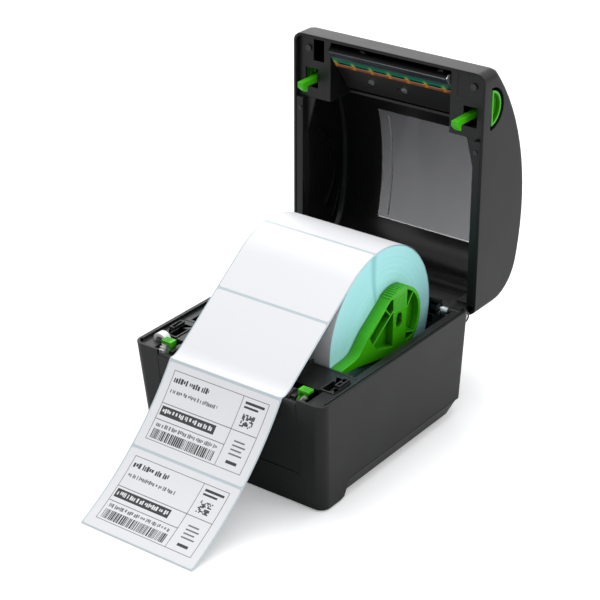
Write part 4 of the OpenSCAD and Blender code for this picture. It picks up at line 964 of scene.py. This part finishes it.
# %% [markdown]
# The head's two springs push between its carrier and the lid's bridge. They stop short of the carrier by
# the head's own travel and a wire's radius, so that the head can rise.

# %% Wind the head's springs
head_rise, carrier_z, bridge_z, spring_y = 2.0, 9.0, 19.0, 18.0
spring_foot = nip - outward * web_gap + along * spring_y + outward * (carrier_z + head_rise)
lid_outward = (on_lid(0, outward.x, outward.y) - on_lid(0, 0, 0)).normalized()
head_coils = spring_pair("head_coils", bodies["head_springs"],
                         lambda side: on_lid(side * 38.0, spring_foot.x, spring_foot.y),
                         lambda side: lid_outward, coil_r=0.0028, wire_r=0.0005, turns=5,
                         length=(bridge_z - carrier_z - head_rise - 1.0) / 1000, start_out=(1, 0, 0))
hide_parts("head_springs")
print("head spring faces:", len(head_coils.data.polygons))

# %% [markdown]
# ## The print line's map
# The glazed strip keeps its CAD shape, with a fine bevel, and gets a UV map: U runs along the strip and V
# across it. The map is written on a copy, because the CAD mesh isn't touched.

# %% Map the glazed strip
shape = merged_copy("head_ceramic")
soften(shape, 0.00025)
left_x = min(v.co.x for v in shape.verts)
right_x = max(v.co.x for v in shape.verts)
strip_run = (on_lid(0, math.cos(slope), math.sin(slope)) - on_lid(0, 0, 0)).normalized()
starts = min(v.co.dot(strip_run) for v in shape.verts)
ends = max(v.co.dot(strip_run) for v in shape.verts)
layer = shape.loops.layers.uv.new("strip")
for face in shape.faces:
    for loop in face.loops:
        place = loop.vert.co
        loop[layer].uv = ((place.x - left_x) / (right_x - left_x),
                          (place.dot(strip_run) - starts) / (ends - starts))
print_line_strip = make_piece("glazed_strip", shape, "head", "head_glaze", glaze_finish)
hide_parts("head_ceramic")
print("strip width:", round((ends - starts) * 1000, 2), "mm")

# %% [markdown]
# ## The light pipe
# A white arched pipe carries light from the board to the lid's button. It is a small flat bar: one leg is
# extruded up, the bend is a spin of the leg's end face, and the far leg is extruded down again.

# %% Bend the light pipe


def extrude_end(shape, face, vec):
    """Pulls a closed bar out of a face and returns its new end."""
    made = bmesh.ops.extrude_face_region(shape, geom=[face])["geom"]
    bmesh.ops.translate(shape, vec=vec, verts=only(bmesh.types.BMVert, made))
    bmesh.ops.delete(shape, geom=[face], context="FACES_ONLY")
    return only(bmesh.types.BMFace, made)[0]


shape = bmesh.new()
pipe_w, pipe_d, leg, bend_r, far_leg = 0.0070, 0.0030, 0.0105, 0.0050, 0.007
base_face = bmesh.ops.create_grid(shape, x_segments=1, y_segments=1, size=0.5)["verts"]
bmesh.ops.scale(shape, vec=(pipe_d, pipe_w, 1), verts=base_face)
foot = spot(-82.3, 19.2, 84.2)
bmesh.ops.translate(shape, vec=foot, verts=base_face)
top_face = extrude_end(shape, shape.faces[:][0], (0, 0, leg))
bend_axis = Vector((0, 1, 0))
bend_centre = foot + Vector((bend_r, 0, leg))
bent = bmesh.ops.spin(shape, geom=[top_face], cent=bend_centre, axis=bend_axis, angle=math.radians(150),
                      steps=10, use_merge=False)["geom_last"]
bmesh.ops.delete(shape, geom=[top_face], context="FACES_ONLY")
last_face = only(bmesh.types.BMFace, bent)[0]
drop = (last_face.calc_center_median() - bend_centre).cross(bend_axis).normalized() * -far_leg
extrude_end(shape, last_face, drop)
bmesh.ops.holes_fill(shape, edges=[edge for edge in shape.edges if edge.is_boundary], sides=8)
look_outwards(shape)
soften(shape, 0.0006)
light_pipe = make_piece("light_pipe", shape, "base", "white_plastic", white_finish)
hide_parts("light_guide")
print("light pipe box:", [round(v * 1000, 1) for v in light_pipe.dimensions])

# %% [markdown]
# ## Moulded lines in the lid
# Two curved ribs stiffen the left wall inside the lid, and a fine ridge runs down the window beside its
# edge. Each is a thin bar swept along an arc, and a spin about the arc's centre makes it in one step.

# %% Raise the ribs inside the lid


def arc_rib(shape, x0, x1, y, z, radius, thick, first, last, steps=24):
    """A bar that follows an arc on the closed lid, between two angles in its side view."""
    a0 = math.radians(first)
    corners = [on_lid(x, y + r * math.cos(a0), z + r * math.sin(a0)) for x, r in
               ((x0, radius), (x1, radius), (x1, radius + thick), (x0, radius + thick))]
    face = shape.faces.new([shape.verts.new(p) for p in corners])
    bmesh.ops.spin(shape, geom=[face], cent=on_lid(0, y, z), axis=(1, 0, 0), angle=math.radians(last - first),
                   steps=steps, use_merge=False)
    look_outwards(shape)


shape = bmesh.new()
wall_x, rib_w = -88.9, 1.6
for y, z, radius, first, last in ((146, 104, 56, 52, 148), (133.5, 105.9, 45.4, 44, 150)):
    arc_rib(shape, wall_x, wall_x + rib_w, y, z, radius, rib_w, first, last)
wall_ribs = make_piece("lid_wall_ribs", shape, "lid", "case_plastic", inner_finish)
print("ribs:", len(wall_ribs.data.polygons), "faces")

# %% [markdown]
# The window's ridge follows the lid's long curve, whose radius is 190 mm inside a wall of 2.4 mm. Its ends
# stop just inside the window's own ends, so its angles come from the window's edges.

# %% Raise the ridge on the window
crown_r, wall, proud = 190.0, 2.4, 0.6
crown_mid = (130.0, 170.5 - crown_r)
ridge_r = crown_r - wall - proud
ridge_left, ridge_right, ridge_thick = -39.0, -38.0, 0.9
first, last = (math.degrees(math.acos((y - crown_mid[0]) / ridge_r)) for y in (172.0, 80.0))
shape = bmesh.new()
arc_rib(shape, ridge_left, ridge_right, *crown_mid, ridge_r, ridge_thick, first, last, steps=72)
# The ridge's pale finish is a painted highlight.
ridge = make_piece("window_ridge", shape, "lid", "smoky_window", ridge_highlight_finish)
print("ridge runs over", round(last - first, 1), "degrees with", len(ridge.data.polygons), "faces")

# %% [markdown]
# The slot at the right of the print head is closed by a small plate, flush with the panel round it.

# %% Close the right slot
shape = bmesh.new()
plate_size, plate_middle = (0.0106, 0.0014, 0.0183), on_lid(69.25, 12.9, 103.0)
made = bmesh.ops.create_cube(shape, size=1.0)["verts"]
bmesh.ops.scale(shape, vec=plate_size, verts=made)
bmesh.ops.translate(shape, vec=plate_middle, verts=made)
soften(shape, 0.0002)
blank = make_piece("slot_blank", shape, "lid", "inner_plastic", inner_finish)
print("slot blank:", [round(v * 1000, 1) for v in blank.dimensions])

# %% [markdown]
# Below each hook a gusset that narrows downwards ties the head's panel to the lid's side rail. It is one
# flat outline, extruded by its thickness.

# %% Add the gussets
back_z, face_z = 103.0, 105.5
gusset_outline = ((73.0, 54.8), (89.0, 54.8), (89.0, 92.0), (83.0, 92.0))


def gusset(shape, side):
    face = shape.faces.new([shape.verts.new(on_lid(side * x, y, back_z)) for x, y in gusset_outline])
    made = bmesh.ops.extrude_face_region(shape, geom=[face], use_keep_orig=True)["geom"]
    depth = on_lid(0, 0, face_z) - on_lid(0, 0, back_z)
    bmesh.ops.translate(shape, vec=depth, verts=only(bmesh.types.BMVert, made))


shape = bmesh.new()
for side in (-1, 1):
    gusset(shape, side)
look_outwards(shape)
soften(shape, 0.0004)
gussets = make_piece("lid_gussets", shape, "lid", "inner_plastic", inner_finish)
print("gussets:", len(gussets.data.polygons), "faces")

# %% [markdown]
# ## The floor
# The floor is stage, not printer. It is a wide plane just under the feet, nearly white, and it shows the
# camera a little extra white so that only the shadow is darker than the background.

# %% Lay the floor
shape = bmesh.new()
bmesh.ops.create_grid(shape, x_segments=2, y_segments=2, size=4.0)
floor_mesh = bpy.data.meshes.new("studio_floor")
shape.to_mesh(floor_mesh)
shape.free()
floor = bpy.data.objects.new("studio_floor", floor_mesh)
floor.location.z = -0.0002
scene.collection.objects.link(floor)
floor_finish, tree, shader = new_material("white_floor", Roughness=0.9)
cloud = noise(tree, object_place(tree), 3.0, Detail=2.0)
paint(tree, shader, mix_colour(tree, cloud, (0.90, 0.90, 0.90, 1), (0.92, 0.92, 0.92, 1)))
lift = add(tree, "Emission", Strength=0.25)
none = add(tree, "Emission", Strength=0.0)
for_camera = tree.nodes.new("ShaderNodeLightPath").outputs["Is Camera Ray"]
extra = add(tree, "MixShader", i0=for_camera, i1=none.outputs[0], i2=lift.outputs[0])
total = add(tree, "AddShader", i0=shader.outputs[0], i1=extra.outputs[0])
output = next(node for node in tree.nodes if node.type == "OUTPUT_MATERIAL")
tree.links.new(total.outputs[0], output.inputs["Surface"])
dress(floor, floor_finish)
print("floor nodes:", len(tree.nodes))

# %% [markdown]
# ## Finish

# %% Finish
import json
